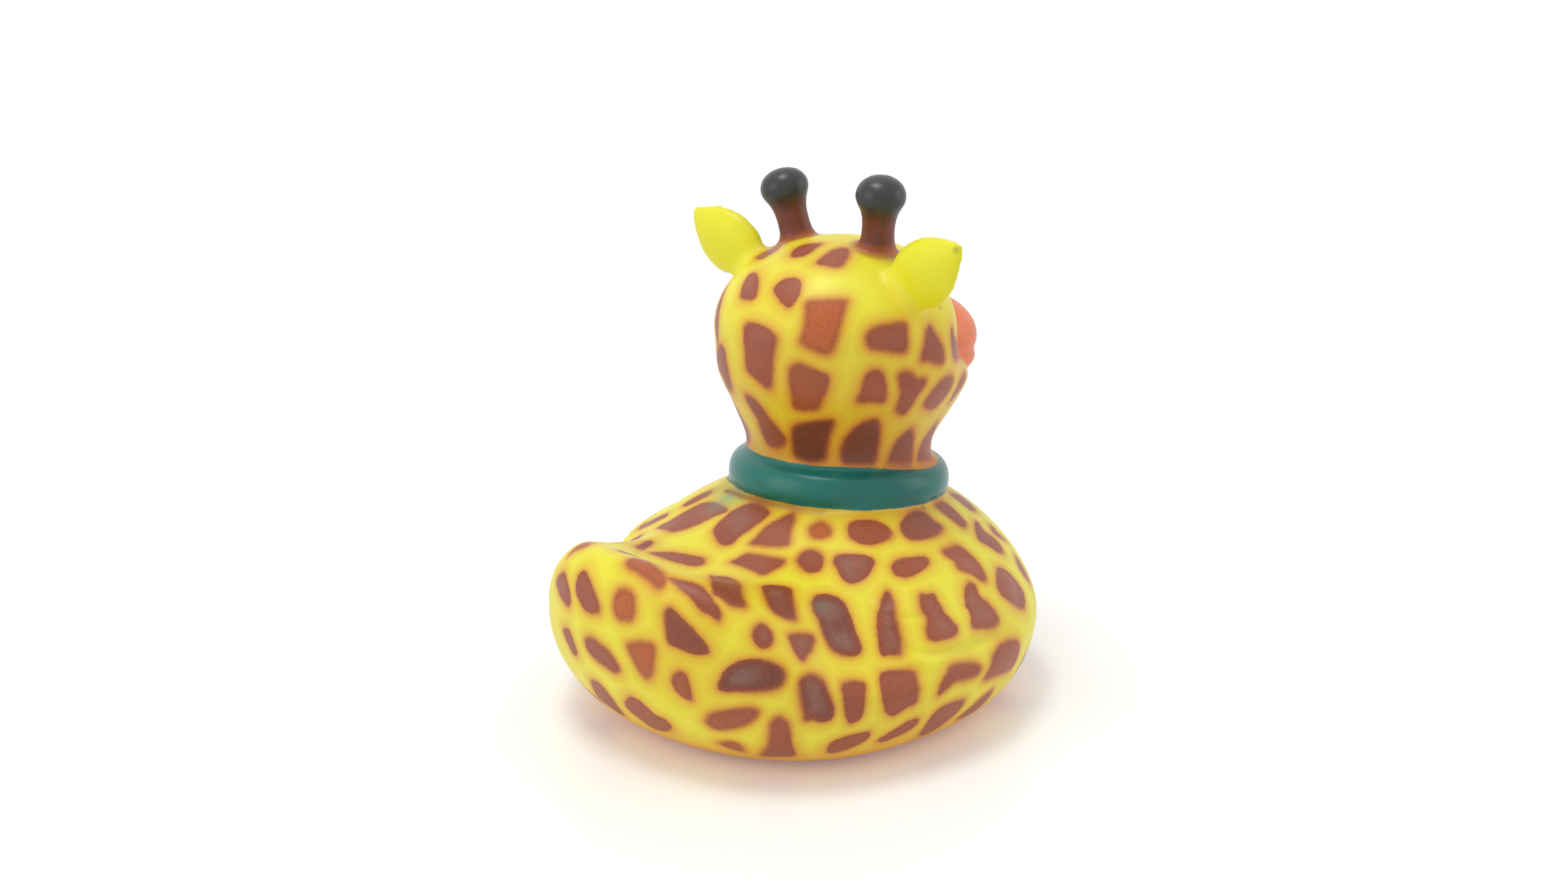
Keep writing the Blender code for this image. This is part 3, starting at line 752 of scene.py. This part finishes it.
        (1104, 1195), (1095, 1201), (1075, 1197), (1054, 1183), (1036, 1169)),
    "keel_small": (0.65, (1103, 1121), (1108, 1107), (1118, 1102), (1129, 1111), (1134, 1130), (1138, 1149),
        (1128, 1149), (1113, 1138)),
    "flank_violet": (0.12, (1178, 1130), (1185, 1110), (1198, 1095), (1218, 1085), (1245, 1082),
        (1273, 1089), (1289, 1102), (1289, 1120), (1276, 1132), (1245, 1137), (1210, 1137), (1188, 1136)),
    "flank_small": (0.35, (1236, 1045), (1240, 1031), (1252, 1024), (1265, 1034), (1271, 1048),
        (1265, 1063), (1252, 1066), (1241, 1058)),
    "flank_heart": (0.35, (1295, 1047), (1300, 1041), (1325, 1041), (1338, 1046), (1336, 1062),
        (1326, 1079), (1318, 1087), (1306, 1073), (1299, 1058)),
    "flank_tall": (0.15, (1335, 985), (1344, 977), (1365, 977), (1386, 989), (1397, 1010), (1405, 1035),
        (1415, 1060), (1411, 1076), (1390, 1078), (1367, 1069), (1354, 1048), (1344, 1020), (1335, 1000)),
    "keel_pill": (0.6, (1160, 1186), (1167, 1173), (1190, 1167), (1225, 1162), (1244, 1165), (1245, 1176),
        (1230, 1189), (1205, 1197), (1180, 1199), (1167, 1194)),
    "keel_slip": (0.8, (1183, 1222), (1198, 1218), (1215, 1223), (1221, 1234), (1208, 1232)),
    "keel_tooth": (0.5, (1265, 1190), (1274, 1179), (1286, 1179), (1297, 1192), (1300, 1215), (1306, 1241),
        (1280, 1243), (1252, 1241), (1262, 1222), (1264, 1205)),
    "flank_low_left": (0.2, (1312, 1125), (1320, 1111), (1335, 1107), (1353, 1117), (1363, 1140),
        (1371, 1165), (1367, 1181), (1350, 1187), (1335, 1183), (1322, 1185), (1317, 1160)),
    "flank_low_right": (0.4, (1382, 1130), (1391, 1120), (1410, 1119), (1422, 1125), (1421, 1150),
        (1417, 1175), (1405, 1187), (1394, 1187), (1387, 1165)),
    "keel_leaf": (0.55, (1359, 1234), (1364, 1221), (1385, 1211), (1408, 1205), (1428, 1202), (1427, 1212),
        (1410, 1223), (1385, 1233), (1366, 1237)),
    "flank_square": (0.5, (1445, 1112), (1456, 1103), (1480, 1101), (1501, 1103), (1507, 1118),
        (1509, 1140), (1505, 1155), (1486, 1165), (1468, 1176), (1455, 1169), (1449, 1145)),
    "keel_blade": (0.5, (1441, 1216), (1460, 1204), (1478, 1193), (1495, 1183), (1509, 1181), (1505, 1191),
        (1488, 1203), (1466, 1213), (1450, 1219)),
    "keel_claw": (0.5, (1510, 1207), (1520, 1192), (1535, 1171), (1555, 1157), (1583, 1149), (1579, 1162),
        (1560, 1181), (1540, 1196), (1520, 1207)),
    "keel_rim": (0.45, (1572, 1181), (1590, 1166), (1610, 1148), (1629, 1133), (1627, 1142), (1610, 1161),
        (1590, 1175)),
    "chest_bend": (0.5, (1540, 1142), (1545, 1124), (1554, 1107), (1562, 1094), (1580, 1089), (1602, 1089),
        (1612, 1098), (1606, 1109), (1585, 1117), (1568, 1121), (1552, 1136)),
    "chest_right": (0.5, (1616, 1117), (1626, 1097), (1632, 1075), (1645, 1057), (1662, 1051), (1674, 1055),
        (1673, 1075), (1661, 1099), (1640, 1109)),
    "chest_rim": (0.4, (1683, 1073), (1688, 1058), (1697, 1046), (1699, 1054), (1693, 1068), (1687, 1076)),
    "wing_first": (0.3, (1444, 1000), (1448, 985), (1456, 969), (1464, 977), (1469, 990), (1471, 1010),
        (1477, 1035), (1481, 1060), (1479, 1075), (1460, 1077), (1447, 1075), (1442, 1050), (1440, 1020)),
    "wing_second": (0.45, (1511, 977), (1522, 976), (1534, 975), (1542, 989), (1551, 1005), (1563, 1018),
        (1573, 1032), (1569, 1045), (1545, 1053), (1527, 1051), (1521, 1032), (1522, 1015), (1513, 1000)),
    "wing_third": (0.45, (1585, 965), (1594, 956), (1602, 961), (1609, 978), (1623, 990), (1635, 1005),
        (1641, 1020), (1631, 1031), (1608, 1033), (1597, 1031), (1594, 1010), (1585, 985)),
}
PATCH_REACH = 4.0
MIRROR_GAP = 2.4
FILL_ROOM = 4.9
FILL_MARGIN = 1.9
FILL_SIZE = 4.6
FILL_TRIES = 270
MOST_PATCHES = 260
FILL_SEED = 11

tree = tree_of(mesh)
points = read_points(mesh)
normals = read_normals(mesh)
lens_point = np.array(camera_at / MM)


def seen(point, normal):
    """Whether the camera sees a point of the skin."""
    if (lens_point - point) @ normal <= 0:
        return False
    start = Vector(point + normal * 0.3)
    away = Vector(lens_point) - start
    return tree.ray_cast(start, away.normalized(), away.length)[0] is None


def on_face(x, z):
    """Where the front of the skin lies at x and z, and its normal there."""
    hit, normal, _, _ = tree.ray_cast(Vector((x, -2 * HALF_LENGTH, z)), Vector((0, 1, 0)))
    return np.array(hit), np.array(normal)


def spots(marks):
    """Soft round marks where the camera sees their pixels."""
    field = np.zeros(len(points))
    for column, row, reach, strength in marks:
        away = np.linalg.norm(points - seen_points(tree, [(column, row)])[0][0], axis=1)
        field = np.maximum(field, strength * np.exp(-((away / reach) ** 2)))
    return field


def blob(seed, *rates):
    """A slow waver over the skin, from about -1 to 1."""
    turned = points * 0.35 + seed
    return (
        np.sin(turned[:, 0] * rates[0] + np.cos(turned[:, 1] * 1.3)) + np.sin(turned[:, 1] * rates[1])
        + np.sin(turned[:, 2] * rates[2] + turned[:, 0])) / 3


# Where each colour lies, in millimetres inside its edge
local = place_inverse(collar_place, points)
collar_radius = np.hypot(local[:, 0], local[:, 1])
collar_turn = np.degrees(np.arctan2(local[:, 0], local[:, 1]))
bare_rim = np.exp(-(((collar_turn + 105) / 28) ** 2)) * 1.3
teal = np.minimum.reduce([
    collar_radius - COLLAR_PAINT_RADIUS - bare_rim, local[:, 2] + 0.2, COLLAR_PAINT_TOP - local[:, 2],
    COLLAR_RADIUS + 0.3 - collar_radius])
teal += 0.07 * blob(2.0, 3.1, 2.7, 3.7)

horn = np.full(len(points), -9.0)
knob = np.full(len(points), -9.0)
stem = np.full(len(points), 12.0)
for place in horn_places:
    near = place_inverse(place, points)
    radius = np.hypot(near[:, 0], near[:, 1])
    on_stem = near[:, 2] > 1.5
    foot = np.where(on_stem, 2.0, HORN_FOOT_RADIUS - radius)
    close = (radius < np.where(on_stem, 4.6, 7.0)) & (near[:, 2] > -3.0)
    horn = np.maximum(horn, np.where(close, foot, -9.0))
    ring = near[:, 2] - (HORN_LENGTH - 5.7) + 0.12 * blob(4.0, 5.0, 4.0, 4.4)
    stem = np.where(radius < 7.0, near[:, 2], stem)
    knob = np.maximum(knob, np.where(radius < 4.8, ring, -9.0))

ear = np.full(len(points), -9.0)
ear_root = np.zeros(len(points))
off_head = head_distance(points)
for place in ear_places:
    span = ear_span(place_inverse(place, points))
    ear = np.maximum(ear, np.minimum((off_head - 1.03) * 20, (1.8 - span) * 6))
    ear_root = np.maximum(ear_root, np.clip((off_head - 1.0) * 6, 0, 1) * np.clip((2.6 - span) / 1.2, 0, 1))

bill = np.full(len(points), -9.0)
for z, half in ((UPPER_BILL_Z, UPPER_BILL), (LOWER_BILL_Z, LOWER_BILL)):
    span = np.linalg.norm((points - (0, BILL_Y, z)) / half, axis=1)
    bill = np.maximum(bill, np.where(points[:, 1] < HEAD_Y - 8, (1.035 - span) * 9, -9.0))

free = (teal < -0.6) & (horn < -0.9) & (ear < -0.6) & (bill < -0.8) & (points[:, 2] > 1.2)
patch = np.full(len(points), 30.0)
thin = np.full(len(points), 0.45)
drawn_patches = []


def add_patch(corners, corner_normals, thinness):
    """Lays one patch on the skin: its corners are points of the skin, flattened along their mean normal."""
    corners = np.array(corners)
    middle = corners.mean(axis=0)
    up = np.array(corner_normals).mean(axis=0)
    up /= np.linalg.norm(up)
    first, second = level_axes(up)
    flat = np.stack([(corners - middle) @ first, (corners - middle) @ second], 1)
    outline = rounded(flat)
    reach = np.linalg.norm(flat, axis=1).max() + PATCH_REACH * 2.5
    depth = np.abs((corners - middle) @ up).max() + 4.0
    offset = points - middle
    near = np.linalg.norm(offset, axis=1) < reach
    near &= (np.abs(offset @ up) < depth + reach * 0.5) & (normals @ up > -0.1)
    near = np.where(near)[0]
    place = np.stack([offset[near] @ first, offset[near] @ second], 1)
    away = line_distance(place, outline, closed=True)
    away = np.where(inside(place, outline), -away, away)
    deep = np.abs(offset[near] @ up)
    away = np.where(deep > depth, np.maximum(away, deep - depth), away)
    closer = away < patch[near]
    thin[near[closer]] = thinness
    patch[near] = np.minimum(patch[near], away)
    drawn_patches.append((corners, np.array(corner_normals), thinness, middle))


for thinness, *outline in PATCHES.values():
    hits = seen_points(tree, outline)
    if len(hits) >= 4:
        add_patch([hit for hit, _ in hits], [normal for _, normal in hits], thinness)

# The other side carries the same patches where the camera doesn't see it and there is room
clear_spot = seen_points(tree, [CLEAR_SPOT])[0][0]
clear_strip = np.array([hit for hit, _ in seen_points(tree, CLEAR_STRIP)])
drawn_only = patch.copy()
for corners, corner_normals, thinness, middle in list(drawn_patches):
    flipped = corners * (-1, 1, 1)
    turned = corner_normals * (-1, 1, 1)
    if any(seen(corner, normal) for corner, normal in zip(flipped, turned)):
        continue
    room = min(patch[np.argmin(np.linalg.norm(points - corner, axis=1))] for corner in flipped)
    if room > MIRROR_GAP and np.linalg.norm(middle * (-1, 1, 1) - clear_spot) > CLEAR_OF_MIRRORED:
        add_patch(flipped, turned, thinness)

# Hidden skin that is still bare gets patches of its own, the widest room first, clear of the face
chooser = np.random.default_rng(FILL_SEED)
face = (points[:, 1] < -24) & (points[:, 2] > 60.5) & (np.abs(points[:, 0]) < 17)
muzzle = (bill > -12) & (points[:, 2] > 50)
open_skin = free & ~face & ~muzzle & (points[:, 2] > 4.5)
open_skin &= np.linalg.norm(points - clear_spot, axis=1) > CLEAR_OF_FILLED
for _ in range(FILL_TRIES):
    room = np.where(open_skin, np.minimum.reduce([patch, -teal * 1.5 + 1.0, -horn + 3, -ear + 2]), -1.0)
    best = int(room.argmax())
    if room[best] < FILL_ROOM or len(drawn_patches) > MOST_PATCHES:
        break
    if seen(points[best], normals[best]):
        open_skin &= np.linalg.norm(points - points[best], axis=1) > 2.0
        continue
    size = min(room[best] - FILL_MARGIN, FILL_SIZE)
    first, second = level_axes(normals[best])
    corners, corner_normals = [], []
    stretch = chooser.uniform(0.75, 1.0)
    start = chooser.uniform(0, 2 * pi)
    for k in range(7):
        angle = start + 2 * pi * k / 7 + chooser.uniform(-0.18, 0.18)
        length = size * chooser.uniform(0.78, 1.12)
        target = points[best] + first * cos(angle) * length * stretch
        target += second * sin(angle) * length / stretch
        hit, normal, _, _ = tree.find_nearest(Vector(target))
        corners.append(np.array(hit))
        corner_normals.append(np.array(normal))
    add_patch(corners, corner_normals, chooser.uniform(0.25, 0.7))
patch = np.where(line_distance(points, clear_strip) < CLEAR_REACH, drawn_only, patch)
patch = np.maximum.reduce([patch, teal + 0.35, horn + 0.8, np.minimum(ear * 0.8 + 1.0, 3), bill + 0.6])

# Painted eyes, kept plain: an upright oval and a round glint, laid on the head's front
eye = np.full(len(points), -9.0)
glint = np.full(len(points), -9.0)
for side in (1, -1):
    hit, out = on_face(side * EYE_X, EYE_Z)
    across = np.cross((0.0, 0.0, 1.0), out)
    across /= np.linalg.norm(across)
    upward = np.cross(out, across)
    offset = points - hit
    flat_x = offset @ across
    flat_z = offset @ upward
    front = (normals @ out > 0.2) & (np.linalg.norm(offset, axis=1) < 8)
    oval = (1 - np.hypot(flat_x / EYE_HALF_WIDTH, flat_z / EYE_HALF_HEIGHT)) * EYE_HALF_WIDTH
    eye = np.where(front, np.maximum(eye, oval), eye)
    dot = GLINT_RADIUS - np.hypot(flat_x - GLINT_X, flat_z - GLINT_Z)
    glint = np.where(front, np.maximum(glint, dot), glint)

# The mouth line and two nostrils, pressed into the bill and shaded
mouth_height = MOUTH_Z + MOUTH_CURL * points[:, 0] ** 2
line = np.exp(-(((points[:, 2] - mouth_height) / MOUTH_HALF_WIDTH) ** 2)) * np.clip(bill * 0.6, 0, 1)
dent = np.zeros(len(points))
for side in (1, -1):
    offset = (points - on_face(side * NOSTRIL_X, NOSTRIL_Z)[0]) / NOSTRIL_HALF
    dent = np.maximum(dent, np.exp(-((offset ** 2).sum(axis=1))) * (bill > 0))
mouth = np.clip(np.maximum(line * 0.6, dent * 0.9), 0, 1)
points -= normals * np.maximum(line * 0.55, dent * 0.5)[:, None]
write_points(mesh, points)
mesh.shade_smooth()

# Teal overspray under the collar at the back left, painted shade in the crease under the collar's lower
# edge, a warm band on the neck and lower head with painted shade round the collar's lower edge, and a
# painted glow along the base
mist = spots(MIST_SPOTS)
scuff = spots(SCUFFS)
# Painted glow: the lowest few millimetres of the base turn orange, standing in for light through the vinyl
painted_glow = np.exp(-((points[:, 2] / 4.4) ** 2))
rim_gap = np.hypot(collar_radius - COLLAR_RADIUS, local[:, 2])
crease_shade_path = np.array([hit for hit, _ in seen_points(tree, CREASE_SHADE_PATH)])
crease_shade = np.exp(-((line_distance(points, crease_shade_path) / CREASE_SHADE_HALF_WIDTH) ** 2)) * (teal < 0.2)
along = (crease_shade_path[0][0] - points[:, 0]) / (crease_shade_path[0][0] - crease_shade_path[-1][0])
crease_shade *= 1 - 0.6 * np.clip(along, 0, 1)
# The warm tint deepens down the head toward the collar and lies on the neck above it; round the collar's
# lower edge it is painted shade
neck_rise = local[:, 2] - COLLAR_HEIGHT
on_neck = np.exp(-((np.maximum(neck_rise, 0) / 5.5) ** 2)) * (collar_radius < 19) * (neck_rise > -1.5)
low_head = 0.45 * np.clip((GOLD_FROM_Z - points[:, 2]) / 16.0, 0, 1) * (neck_rise > 0) * (collar_radius < 24)
warm_tint_and_shade = np.maximum.reduce([on_neck, low_head, 0.75 * np.exp(-((rim_gap / 1.9) ** 2))])
fields = {
    "patch": patch, "thin": thin, "teal": teal, "horn": horn, "knob": knob, "stem": stem, "painted_glow": painted_glow,
    "scuff": scuff, "mouth": mouth, "ear_root": ear_root, "ear": ear, "bill": bill, "eye": eye,
    "glint": glint, "mist": mist, "crease_shade": crease_shade, "warm_tint_and_shade": warm_tint_and_shade,
}
for name, values in fields.items():
    layer = mesh.attributes.new(name, "FLOAT", "POINT")
    layer.data.foreach_set("value", np.clip(values, -9, 12).astype(np.float32))


def paint(material):
    """Handles for building the nodes of a material or the world: a maker and a linker."""
    material.use_nodes = True
    tree_nodes = material.node_tree
    tree_nodes.nodes.clear()

    def node(kind, **settings):
        made = tree_nodes.nodes.new(kind)
        for key, value in settings.items():
            if key in made.inputs:
                made.inputs[key].default_value = value
            else:
                setattr(made, key, value)
        return made

    def link(out, into):
        tree_nodes.links.new(out, into)
    return node, link


def srgb(red, green, blue):
    """An sRGB colour, 0 to 255, as the linear values a shader takes."""
    def linear(value):
        value /= 255
        return value / 12.92 if value <= 0.04045 else ((value + 0.055) / 1.055) ** 2.4
    return linear(red), linear(green), linear(blue), 1.0


vinyl = bpy.data.materials.new("painted_vinyl")
node, link = paint(vinyl)
place_input = node("ShaderNodeTexCoord")


def give(socket, value):
    """Sets a socket to a number or an sRGB colour, or links another socket to it."""
    if isinstance(value, tuple):
        socket.default_value = srgb(*value)
    elif isinstance(value, (int, float)):
        socket.default_value = value
    else:
        link(value, socket)


def noise(scale, detail=3.0, rough=0.5):
    """Noise in the object's own coordinates."""
    made = node("ShaderNodeTexNoise", Scale=scale, Detail=detail, Roughness=rough)
    link(place_input.outputs["Object"], made.inputs["Vector"])
    return made.outputs["Fac"]


def calculate(operation, *values):
    """A math node on two or three values."""
    made = node("ShaderNodeMath", operation=operation)
    for socket, value in zip(made.inputs, values):
        give(socket, value)
    return made.outputs[0]


def times(first, second):
    return calculate("MULTIPLY", first, second)


def attribute(name):
    """One of the fields stored on the skin."""
    return node("ShaderNodeAttribute", attribute_name=name).outputs["Fac"]


def ragged_edge(name, amount):
    """A field with its edge made uneven by the fine grain."""
    return calculate("MULTIPLY_ADD", calculate("SUBTRACT", grain, 0.5), amount, attribute(name))


def ramp_mask(value, low, high):
    """0 below low and 1 above high, with a smooth step between."""
    made = node("ShaderNodeMapRange", interpolation_type="SMOOTHSTEP")
    for name, given in (("Value", value), ("From Min", low), ("From Max", high)):
        give(made.inputs[name], given)
    return made.outputs["Result"]


def blend(below, above, mask, kind="MIX"):
    """One colour laid over another where the mask is."""
    made = node("ShaderNodeMix", data_type="RGBA", blend_type=kind)
    sockets = {s.identifier: s for s in made.inputs}
    for key, value in (("A_Color", below), ("B_Color", above), ("Factor_Float", mask)):
        give(sockets[key], value)
    return next(s for s in made.outputs if s.identifier == "Result_Color")


def surface(out, kind="ShaderNodeOutputMaterial"):
    """Sends a shader to its output."""
    link(out, node(kind).inputs["Surface"])


def coat(obj, material):
    """Gives a piece its one material."""
    obj.data.materials.clear()
    obj.data.materials.append(material)


cloud = noise(45.0, 2.0)
grain = noise(900.0, 4.0, 0.7)
fine_grain = noise(2600.0, 2.0, 0.6)
ragged = ragged_edge("patch", 0.6)
softness = ramp_mask(noise(70.0, 1.0), 0.38, 0.66)
softness = calculate("MAXIMUM", softness, ramp_mask(attribute("thin"), 0.55, 0.85))
softness = calculate("MAXIMUM", softness, ramp_mask(attribute("warm_tint_and_shade"), 0.2, 0.5))
blur = calculate("MULTIPLY_ADD", softness, 0.42, 0.16)

yellow = blend(YELLOW, YELLOW_DEEP, ramp_mask(cloud, 0.42, 0.70))
overspray = times(ramp_mask(attribute("patch"), 3.0, 0.3), 0.5)
colour = blend(yellow, OVERSPRAY, overspray)
# Warm tint on the neck and lower head, with painted shade round the collar's lower edge
colour = blend(colour, WARM_TINT_AND_SHADE, times(attribute("warm_tint_and_shade"), 0.7))
# Painted glow along the base, standing in for light through the vinyl
colour = blend(colour, PAINTED_GLOW, times(attribute("painted_glow"), 0.85))
halo = times(ramp_mask(ragged, calculate("ADD", blur, 0.75), -0.1), 0.7)
colour = blend(colour, HALO, halo)
patch_dark = blend(PATCH_DARK, PATCH_MIDDLE, ramp_mask(attribute("thin"), 0.0, 0.55))
patch_colour = blend(patch_dark, PATCH_ORANGE, ramp_mask(attribute("thin"), 0.5, 1.0))
# Painted sheen: a grey-violet wash inside the darker patches, standing in for reflected light
painted_sheen = ramp_mask(noise(110.0, 2.0), 0.42, 0.62)
painted_sheen = times(painted_sheen, ramp_mask(attribute("patch"), -0.4, -2.0))
painted_sheen = times(painted_sheen, ramp_mask(attribute("thin"), 0.7, 0.2))
painted_sheen = times(painted_sheen, ramp_mask(attribute("warm_tint_and_shade"), 0.35, 0.1))
patch_colour = blend(patch_colour, PAINTED_PATCH_SHEEN, times(painted_sheen, 0.5))
speckle = times(ramp_mask(noise(330.0, 4.0, 0.65), 0.5, 0.8), 0.3)
patch_colour = blend(patch_colour, PATCH_ORANGE, speckle)
thin_edge = times(ramp_mask(attribute("patch"), -1.1, -0.1), 0.6)
patch_colour = blend(patch_colour, PATCH_EDGE, thin_edge)
patch_colour = blend(patch_colour, calculate("MULTIPLY_ADD", fine_grain, 0.7, 0.65), 1.0, "MULTIPLY")
colour = blend(colour, patch_colour, ramp_mask(ragged, blur, times(blur, -1.0)))
colour = blend(colour, MIST, times(attribute("mist"), 0.7))
# Painted shade in the crease under the collar's lower edge
colour = blend(colour, CREASE_SHADE, attribute("crease_shade"))
ear_mask = ramp_mask(attribute("ear_root"), 0.0, 1.0)
colour = blend(colour, EAR_YELLOW, ear_mask)
bill_mask = ramp_mask(attribute("bill"), -0.12, 0.16)
colour = blend(colour, BILL_ORANGE, bill_mask)
colour = blend(colour, MOUTH_BROWN, attribute("mouth"))
teal_mask = ramp_mask(ragged_edge("teal", 0.3), -0.1, 0.12)
teal_colour = blend(TEAL, TEAL_DEEP, ramp_mask(cloud, 0.4, 0.7))
colour = blend(colour, teal_colour, teal_mask)
horn_foot = times(ramp_mask(attribute("horn"), -1.7, 0.0), 0.7)
colour = blend(colour, HORN_FOOT, horn_foot)
horn_mask = ramp_mask(ragged_edge("horn", 0.9), -0.6, 0.5)
horn_colour = blend(HORN_RED, HORN_BROWN, ramp_mask(attribute("stem"), 4.0, 7.5))
horn_speckle = times(ramp_mask(noise(420.0, 3.0), 0.45, 0.7), 0.5)
horn_colour = blend(horn_colour, HORN_BROWN, horn_speckle)
horn_colour = blend(HORN_FOOT, horn_colour, ramp_mask(attribute("stem"), -0.2, 2.0))
colour = blend(colour, horn_colour, horn_mask)
knob_mask = ramp_mask(attribute("knob"), -0.3, 1.5)
colour = blend(colour, KNOB, knob_mask)
eye_mask = ramp_mask(attribute("eye"), -0.06, 0.06)
colour = blend(colour, EYE_BLACK, eye_mask)
colour = blend(colour, GLINT_WHITE, ramp_mask(attribute("glint"), -0.05, 0.05))
colour = blend(colour, KNOB, attribute("scuff"))

shine = calculate("MULTIPLY_ADD", grain, 0.10, 0.36)
shine = calculate("MULTIPLY_ADD", teal_mask, -0.15, shine)
shine = calculate("MULTIPLY_ADD", knob_mask, -0.08, shine)
shine = calculate("MULTIPLY_ADD", eye_mask, -0.2, shine)
relief = node("ShaderNodeBump", Strength=0.06, Distance=0.0002)
link(calculate("ADD", grain, fine_grain), relief.inputs["Height"])
shader = node("ShaderNodeBsdfPrincipled")
shader.inputs["Subsurface Radius"].default_value = (0.0012, 0.0007, 0.0002)
for name, value in (
    ("Base Color", colour), ("Roughness", shine), ("Normal", relief.outputs["Normal"]), ("IOR", 1.47),
    ("Subsurface Weight", 0.12), ("Subsurface Scale", 1.0), ("Specular IOR Level", 0.45),
):
    give(shader.inputs[name], value)
surface(shader.outputs["BSDF"])
coat(duck, vinyl)

# The squeaker under the base
flange_top = RECESS_DEPTH - FIT_GAP
valve_form = bmesh.new()
add_turned(
    valve_form,
    [(3.4, 7.4), (4.6, 7.4), (6.4, 6.2), (6.4, 5.3), (5.6, 5.3), (5.6, flange_top), (8.7, flange_top),
     (SQUEAKER_FLANGE_RADIUS, flange_top - 0.25), (SQUEAKER_FLANGE_RADIUS, FIT_GAP + 0.25), (8.75, FIT_GAP),
     (1.45, FIT_GAP), (1.2, FIT_GAP + 0.25), (1.2, 2.0), (3.4, 2.6)], 96, closed=True)
squeaker = object_from("squeaker_plug", valve_form)
for face in squeaker.data.polygons:
    face.use_smooth = True
edges = squeaker.modifiers.new("edges", "BEVEL")
edges.width = 0.06 * MM
edges.segments = 2
edges.limit_method = "ANGLE"
edges.angle_limit = radians(35)
squeaker.modifiers.new("normals", "WEIGHTED_NORMAL")
settled(squeaker)
valve = bpy.data.materials.new("cream_plastic")
node, link = paint(valve)
shader = node("ShaderNodeBsdfPrincipled", Roughness=0.42)
give(shader.inputs["Base Color"], CREAM)
surface(shader.outputs["BSDF"])
coat(squeaker, valve)

# Pale floor, white surroundings and soft studio lamps
FLOOR_LIFT = 0.14
FLOOR_PALE = (0.92, 0.92, 0.915, 1.0)
FLOOR_SIZE = 6000.0
WHITE_FROM = 0.06
WHITE_TO = 0.24
ROOM_LEVEL = 0.68
SEEN_RAYS = ("Is Camera Ray", "Is Glossy Ray", "Is Transmission Ray")


def at_least(level):
    """1 for rays that show the surroundings, and level for rays that light the duck."""
    seen_by = node("ShaderNodeLightPath")
    for ray in SEEN_RAYS:
        level = calculate("MAXIMUM", seen_by.outputs[ray], level)
    return level


floor_paint = bpy.data.materials.new("pale_floor")
node, link = paint(floor_paint)
shader = node("ShaderNodeBsdfPrincipled", Roughness=0.36)
shader.inputs["Base Color"].default_value = FLOOR_PALE
far_white = node("ShaderNodeEmission", Strength=1.0)
lift = node("ShaderNodeEmission")
raised = node("ShaderNodeAddShader")
white_for = at_least(0.0)
give(lift.inputs["Strength"], times(white_for, FLOOR_LIFT))
link(shader.outputs["BSDF"], raised.inputs[0])
link(lift.outputs["Emission"], raised.inputs[1])
length = node("ShaderNodeVectorMath", operation="LENGTH")
link(node("ShaderNodeTexCoord").outputs["Object"], length.inputs[0])
fade = ramp_mask(length.outputs["Value"], WHITE_FROM, WHITE_TO)
either = node("ShaderNodeMixShader")
give(either.inputs[0], times(fade, white_for))
link(raised.outputs["Shader"], either.inputs[1])
link(far_white.outputs["Emission"], either.inputs[2])
surface(either.outputs["Shader"])
ground = bmesh.new()
bmesh.ops.create_grid(ground, x_segments=1, y_segments=1, size=FLOOR_SIZE)
floor = object_from("floor", ground)
coat(floor, floor_paint)


LIT_POINT = Vector((0, -0.01, 0.045))


def lamp(name, at, size, power):
    """A soft white box of light turned to the duck."""
    light = bpy.data.lights.new(name, "AREA")
    light.shape = "RECTANGLE"
    light.size, light.size_y = size
    light.energy = power
    obj = bpy.data.objects.new(name, light)
    obj.location = at
    obj.rotation_euler = (LIT_POINT - at).to_track_quat("-Z", "Y").to_euler()
    scene.collection.objects.link(obj)


lamp("overhead_box", Vector((0.05, 0.12, 0.62)), (0.22, 0.20), 1.15)
lamp("left_box", camera_at - camera_right * 0.50 + Vector((0, 0, 0.12)), (0.35, 0.45), 0.6)
lamp("right_box", camera_right * 0.60 + Vector((0.0, 0.0, 0.24)), (0.30, 0.45), 0.45)

world = bpy.data.worlds.new("white_room")
scene.world = world
node, link = paint(world)
background = node("ShaderNodeBackground")
background.inputs["Color"].default_value = (1.0, 1.0, 1.0, 1.0)
give(background.inputs["Strength"], at_least(ROOM_LEVEL))
surface(background.outputs["Background"], "ShaderNodeOutputWorld")

scene.view_settings.view_transform = "Standard"
scene.view_settings.look = "None"

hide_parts("duck_body")
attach(duck, "root")
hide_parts("squeaker")
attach(squeaker, "root")
